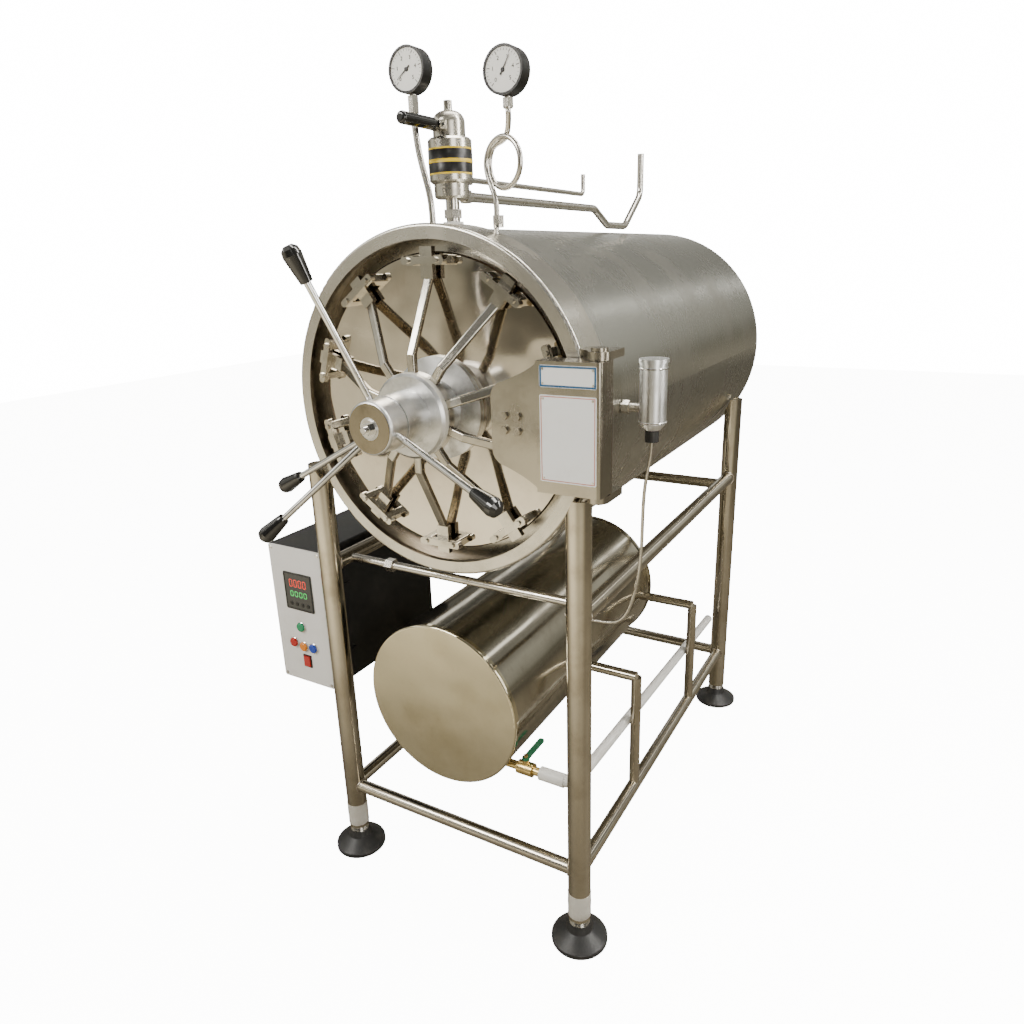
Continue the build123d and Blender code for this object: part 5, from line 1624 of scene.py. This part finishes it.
@dataclass
class ControlPanel:
    """Face of the control box: display, lamps, switch, screws and edge."""

    machine: Machine
    bezel: float = 0.0022
    bezel_height: float = 0.004
    bezel_gap: float = 0.0002
    bezel_soft: float = 0.0008
    screw_inset: float = 0.009
    screw_r: float = 0.0032
    screw: float = 0.0016
    screw_washer_r: float = 0.0042
    washer: float = 0.0005
    edge: tuple[float, float, float] = (0.002, 0.0016, 0.0010)
    upper_row: tuple[float, float] = (0.62, 0.20)
    lower_row: tuple[float, float] = (0.36, 0.15)
    digits: int = 4
    first_digit: float = 0.20
    digit_step: float = 0.16
    digit_width: float = 0.11
    segment: float = 0.0016
    segment_gap: float = 0.35
    relief: float = 0.0004
    key_step: float = 0.2
    key_row: float = 0.16
    key_r: float = 0.045
    key: float = 0.0010
    key_washer_r: float = 0.06
    key_washer: float = 0.0004
    rocker_margin: float = 0.003
    rocker_rim: tuple[float, float] = (0.0026, 0.0022)

    def dress(self) -> None:
        """Finishes of the box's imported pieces."""
        self.machine.dress(Finish.BOX, ["control_box"])
        self.machine.dress(Finish.PANEL, ["control_panel"])
        self.machine.dress(Finish.DISPLAY, ["panel_display"])
        self.machine.dress(Finish.ROCKER, ["rocker_switch"])
        lamps = sorted(self.machine.solids("panel_lamps"), key=lambda box: -box.middle.z)
        top, low = lamps[0], sorted(lamps[1:], key=lambda box: box.middle.x)
        colours = [Finish.LAMP_GREEN, Finish.LAMP_RED, Finish.LAMP_AMBER, Finish.LAMP_BLUE]
        self.machine.paint_solids("panel_lamps", colours, [top, *low])

    def digit(self, corner: Vector, width: float, height: float) -> list[tuple[Vector, Vector]]:
        """The lit bars of a seven-bar nought.

        Args:
            corner: Lower left corner, on the display.
            width: Width of the figure.
            height: Height of the figure.

        Returns:
            The corners of the bars.
        """
        w, gap = self.segment, self.segment * self.segment_gap
        x, y, z = corner
        spans = [(x + w, x + width - w, z, z + w), (x + w, x + width - w, z + height - w, z + height)]
        for left in (x, x + width - w):
            for foot in (z + w / 2 + gap, z + height / 2 + gap):
                spans.append((left, left + w, foot, foot + height / 2 - w / 2 - 2 * gap))
        return [(Vector((a, y - self.relief, c)), Vector((b, y, d))) for a, b, c, d in spans]

    def readout(self, display: Box) -> None:
        """Frame, two rows of figures and keys of the display.

        Args:
            display: The display's box.
        """
        edge = bars("display_frame", frame_bars(display.low, display.high, *self.edge))
        self.machine.add(edge, "machine", Finish.CASE)
        width, height = display.size.x, display.size.z
        for name, finish, (foot, tall) in (("display_upper", Finish.DIGITS, self.upper_row),
                                           ("display_lower", Finish.DIGITS_GREEN, self.lower_row)):
            blocks = []
            for k in range(self.digits):
                start = self.first_digit + self.digit_step * k
                corner = display.low + Vector((width * start, 0, height * foot))
                blocks += self.digit(corner, width * self.digit_width, height * tall)
            self.machine.add(bars(name, blocks), "machine", finish)
        keys = [tuple(display.low + Vector((width * self.key_step * (k + 1), 0, height * self.key_row)))
                for k in range(self.digits)]
        buttons = self.machine.fasteners.piece(
            "display_keys", keys, [FACING] * len(keys),
            {"Head Radius": width * self.key_r, "Head Height": self.key, "Sides": 20,
             "Washer Radius": width * self.key_washer_r, "Washer Height": self.key_washer,
             "Finish": self.machine.finishes[Finish.CASE]})
        self.machine.add(buttons, "machine")

    def build(self) -> None:
        """Builds the small pieces on the panel."""
        panel = self.machine.box("control_panel")
        for k, lamp in enumerate(self.machine.solids("panel_lamps")):
            radius = lamp.size.x / 2
            ring = lathe(f"lamp_bezel_{k + 1}",
                         ring_profile(radius + self.bezel_gap, radius + self.bezel, 0.0, self.bezel_height,
                                      self.bezel_soft),
                         Vector((lamp.middle.x, panel.low.y, lamp.middle.z)), FORWARD, count=40)
            self.machine.add(ring, "machine", Finish.CHROME)
        corners = corners_of(panel, self.screw_inset)
        screws = self.machine.fasteners.piece(
            "panel_screws", corners, [FACING] * len(corners),
            {"Head Radius": self.screw_r, "Head Height": self.screw, "Sides": 14,
             "Washer Radius": self.screw_washer_r, "Washer Height": self.washer,
             "Finish": self.machine.finishes[Finish.CHROME]})
        self.machine.add(screws, "machine")
        self.readout(self.machine.box("panel_display"))
        rocker, margin = self.machine.box("rocker_switch"), self.rocker_margin
        low = Vector((rocker.low.x - margin, panel.low.y, rocker.low.z - margin))
        high = Vector((rocker.high.x + margin, panel.low.y, rocker.high.z + margin))
        rim = bars("rocker_frame", frame_bars(low, high, 0.0, *self.rocker_rim))
        self.machine.add(rim, "machine", Finish.CASE)


@dataclass
class SignPlates:
    """Edges and rivets of the two bare sign plates."""

    machine: Machine
    relief: float = 0.0003
    small_edge: tuple[float, float] = (0.0008, 0.0034)
    large_edge: tuple[float, float] = (0.0022, 0.0016)
    rivet_inset: float = 0.0065
    rivet_r: float = 0.0016
    rivet: float = 0.0008
    washer_r: float = 0.0023
    washer: float = 0.0005

    def dress(self) -> None:
        """Finish of the plates."""
        self.machine.dress(Finish.SIGN, ["sign_plates"])

    def build(self) -> None:
        """A blue edge on the small plate, a red one on the large plate, and rivets in the corners."""
        plates = sorted(self.machine.solids("sign_plates"), key=lambda box: box.size.z)
        small, large = plates
        edge = bars("small_sign_edge", frame_bars(small.low, small.high, *self.small_edge, self.relief))
        self.machine.add(edge, "door", Finish.SIGN_BLUE)
        rim = bars("large_sign_edge", frame_bars(large.low, large.high, *self.large_edge, self.relief))
        self.machine.add(rim, "door", Finish.SIGN_EDGE)
        spots = [spot for plate in plates for spot in corners_of(plate, self.rivet_inset)]
        rivets = self.machine.fasteners.piece(
            "sign_rivets", spots, [FACING] * len(spots),
            {"Head Radius": self.rivet_r, "Head Height": self.rivet, "Sides": 12,
             "Washer Radius": self.washer_r, "Washer Height": self.washer,
             "Finish": self.machine.finishes[Finish.CHROME]})
        self.machine.add(rivets, "door")


@dataclass
class Stand:
    """Posts, rails, feet and the welds between them."""

    machine: Machine
    bead: float = 0.0021
    ripple: float = 0.0012
    wrap: float = 0.0009
    wrap_low: float = 0.070
    wrap_high: float = 0.132
    wrap_gap: float = 0.0001
    wrap_waves: tuple[tuple[float, float], ...] = ((1.0, 0.002), (0.6, 0.018), (1.3, 0.034), (0.7, 0.050))
    thread_ridge: float = 0.0009
    thread_pitch: float = 0.0026
    seed_step: float = 3.7
    front_depth: float = 0.1
    plug: float = 0.003
    plug_drop: float = 0.002
    plug_reach: float = 1.2
    plug_slack: float = 2e-4

    def dress(self) -> None:
        """Finishes of the stand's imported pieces."""
        self.machine.dress(Finish.TUBE, ["posts", "boiler_stand", "foot_stems"])
        self.machine.dress(Finish.RAIL, ["rails"])
        self.machine.dress(Finish.FOOT, ["foot_pads"])

    def rail_welds(self, posts: Sequence[Box], post_r: float) -> None:
        """Weld beads where the rails meet the posts.

        Args:
            posts: Boxes of the posts.
            post_r: Outer radius of a post.
        """
        joints: dict[float, list[tuple[Point, Point]]] = {}
        for rail in self.machine.solids("rails"):
            along = 0 if rail.size.x > rail.size.y else 1
            tube_r = round(rail.size.z / 2, 4)
            for end, sign in ((rail.low, 1.0), (rail.high, -1.0)):
                post = min(posts, key=lambda box: (box.middle.xy - end.xy).length)
                spot = (post.middle.x, post.middle.y, rail.middle.z)
                heading = (0.0 if sign > 0 else math.pi) if along == 0 else sign * math.pi / 2
                joints.setdefault(tube_r, []).append((spot, (0.0, 0.0, heading)))
        for number, (tube_r, spots) in enumerate(sorted(joints.items())):
            welds = self.machine.welds.piece(
                f"rail_welds_{number + 1}", [s for s, _ in spots], [t for _, t in spots],
                {"Tube Radius": tube_r + self.bead / 3, "Post Radius": post_r + self.bead / 4,
                 "Bead": self.bead, "Ripple": self.ripple, "Seed": self.seed_step * (number + 1),
                 "Finish": self.machine.finishes[Finish.WELD]}, True)
            self.machine.add(welds, "machine")

    def leg_wraps(self, posts: Sequence[Box], post_r: float) -> None:
        """Loose film round the front legs.

        Args:
            posts: Boxes of the posts.
            post_r: Outer radius of a post.
        """
        front = min(box.middle.y for box in posts)
        inner, tall = post_r + self.wrap_gap, self.wrap_high - self.wrap_low
        waves = [(post_r + self.wrap * share, height) for share, height in self.wrap_waves]
        profile = [(inner, 0.0), *waves, (post_r + self.wrap, tall), (inner, tall)]
        legs = (box for box in posts if box.middle.y < front + self.front_depth)
        for number, post in enumerate(legs):
            base = Vector((post.middle.x, post.middle.y, self.wrap_low))
            sleeve = lathe(f"leg_wrap_{number + 1}", profile, base, UP, count=56)
            self.machine.add(sleeve, "machine", Finish.FILM)

    def foot_threads(self, posts: Sequence[Box]) -> None:
        """Threads on the stems between the foot pads and the posts.

        Args:
            posts: Boxes of the posts.
        """
        stems = self.machine.solids("foot_stems")
        pads = self.machine.solids("foot_pads")
        stem_r = min(box.size.x for box in stems) / 2
        low = max(box.high.z for box in pads)
        high = min(box.low.z for box in posts)
        count = max(2, int((high - low) / self.thread_pitch))
        threads = self.machine.threads.piece(
            "foot_threads", [(box.middle.x, box.middle.y, low + self.thread_pitch / 2) for box in stems],
            [UPRIGHT] * len(stems),
            {"Rings": count, "Pitch": self.thread_pitch, "Radius": stem_r, "Ridge": self.thread_ridge,
             "Finish": self.machine.finishes[Finish.FITTING]}, True)
        self.machine.add(threads, "machine")

    def plugs(self, posts: Sequence[Box], post_r: float) -> None:
        """Plates that close the shaped top ends of the posts.

        Args:
            posts: Boxes of the posts.
            post_r: Outer radius of a post.
        """
        spots = [v.co for v in self.machine.nodes["posts"].data.vertices]
        for number, post in enumerate(posts):
            middle = post.middle.xy
            near = [co for co in spots
                    if (co.xy - middle).length < post_r * self.plug_reach and co.z > post.middle.z]
            inner = min((co.xy - middle).length for co in near)
            rim = {}
            for co in near:
                if (co.xy - middle).length < inner + self.plug_slack:
                    rim[round(math.atan2(co.y - middle.y, co.x - middle.x), 3)] = co
            loop = [rim[angle] for angle in sorted(rim)]
            count = len(loop)
            top, thick = UP * -self.plug_drop, UP * -self.plug
            hub = sum(loop, Vector()) / count
            points = [co + top for co in loop] + [co + top + thick for co in loop]
            points += [hub + top, hub + top + thick]
            faces = [(2 * count, k, (k + 1) % count) for k in range(count)]
            faces += [(2 * count + 1, count + (k + 1) % count, count + k) for k in range(count)]
            faces += [(k, (k + 1) % count, count + (k + 1) % count, count + k) for k in range(count)]
            self.machine.add(made_of(f"post_plug_{number + 1}", points, faces), "machine", Finish.TUBE)

    def build(self) -> None:
        """Welds, wraps on the front legs, plugs in the posts and threads on the feet."""
        posts = self.machine.solids("posts")
        post_r = min(box.size.x for box in posts) / 2
        self.rail_welds(posts, post_r)
        self.leg_wraps(posts, post_r)
        self.plugs(posts, post_r)
        self.foot_threads(posts)


@dataclass
class Boiler:
    """Steam generator with its drain."""

    machine: Machine
    rim: float = 0.003
    rim_under: float = 0.0002
    rim_stand: float = 0.0012
    rim_soft: float = 0.0008

    def dress(self) -> None:
        """Finishes of the steam generator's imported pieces."""
        self.machine.dress(Finish.BOILER, ["boiler_shell", "boiler_rear"])
        self.machine.dress(Finish.BOILER_END, ["boiler_front"])
        self.machine.dress(Finish.BRASS, ["drain_valve"])
        self.machine.dress(Finish.LEVER_GREEN, ["drain_lever"])
        self.machine.dress(Finish.WHITE_STUB, ["waste_pipe"])

    def build(self) -> None:
        """Weld bead round the front end."""
        shell = self.machine.box("boiler_shell")
        radius = shell.size.x / 2
        profile = ring_profile(radius - self.rim, radius - self.rim_under, 0.0, self.rim, self.rim_soft)
        front = Vector((shell.middle.x, shell.low.y - self.rim_stand, shell.middle.z))
        rim = lathe("boiler_rim", profile, front, BACKWARD, count=96)
        self.machine.add(rim, "machine", Finish.WELD)


@dataclass
class TopFittings:
    """Safety valve, pipes, steam trap and the tape at their joints."""

    machine: Machine
    band: float = 0.0005
    bands: tuple[tuple[str, Finish, float, float, float], ...] = (
        ("dark", Finish.CASE, 0.20, 0.58, 1.0), ("low_edge", Finish.BAND_YELLOW, 0.17, 0.20, 1.0),
        ("high_edge", Finish.BAND_YELLOW, 0.58, 0.61, 1.0), ("stripe", Finish.BAND_YELLOW, 0.36, 0.42, 2.0))
    tape: float = 0.0012
    tape_height: float = 0.010
    tape_sink: float = 0.006
    tape_soft: float = 0.0006
    trap_rings: tuple[float, float] = (0.10, 0.86)
    trap_ring: float = 0.003
    trap_under: float = 0.0002
    trap_soft: float = 0.0008

    def dress(self) -> None:
        """Finishes of the fittings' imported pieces."""
        self.machine.dress(Finish.ALUMINIUM, ["trap_body"])
        self.machine.dress(Finish.TRAP_NECK, ["trap_neck"])
        self.machine.dress(Finish.FITTING, ["trap_pipes", "top_pipes", "feed_pipe", "valve_nozzle"])
        self.machine.dress(Finish.VALVE, ["valve_body", "valve_bell"])
        self.machine.dress(Finish.KNOB, ["valve_lever"])

    def build(self) -> None:
        """Bands on the safety valve, tape at the nozzles and rings on the steam trap."""
        body, nozzle = self.machine.box("valve_body"), self.machine.box("valve_nozzle")
        centre = Vector((nozzle.middle.x, nozzle.middle.y, 0.0))
        radius = body.size.x / 2
        top, height = body.high.z, body.size.z
        for label, finish, low, high, share in self.bands:
            profile = ring_profile(radius - self.band, radius + self.band * share, 0.0, height * (high - low))
            base = centre + UP * (top - height * high)
            self.machine.add(lathe(f"valve_band_{label}", profile, base, UP, count=64), "machine", finish)
        nozzle_r = nozzle.size.x / 2
        foot = Vector((centre.x, centre.y, self.machine.box("ring_band").high.z - self.tape_sink))
        profile = ring_profile(nozzle_r, nozzle_r + self.tape, 0.0, self.tape_height, self.tape_soft)
        self.machine.add(lathe("nozzle_tape", profile, foot, UP), "machine", Finish.TAPE)
        trap = self.machine.box("trap_body")
        trap_r = trap.size.x / 2
        profile = ring_profile(trap_r - self.trap_ring, trap_r - self.trap_under, 0.0, self.trap_ring,
                               self.trap_soft)
        for number, share in enumerate(self.trap_rings):
            base = Vector((trap.middle.x, trap.middle.y, trap.low.z + trap.size.z * share))
            ring = lathe(f"trap_ring_{number + 1}", profile, base, UP, count=56)
            self.machine.add(ring, "machine", Finish.CHROME)


def build_machine(frame: dict) -> None:
    """Dresses and completes every sub-assembly.
    """
    machine = Machine(frame["nodes"])
    for part in (Vessel, DoorDrive, GaugePair, ControlPanel, SignPlates, Stand, Boiler, TopFittings):
        group = part(machine)
        group.dress()
        group.build()
        log.info("finished the %s", part.__name__)
    bare = [name for name, node in machine.nodes.items() if not node.data.materials]
    log.info("pieces without a finish: %s", bare)


def main() -> None:
    """Builds the scene."""
    logging.basicConfig(level=logging.INFO, format="%(message)s")
    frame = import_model()
    Studio().build()
    build_machine(frame)


if __name__ == "__main__":
    main()
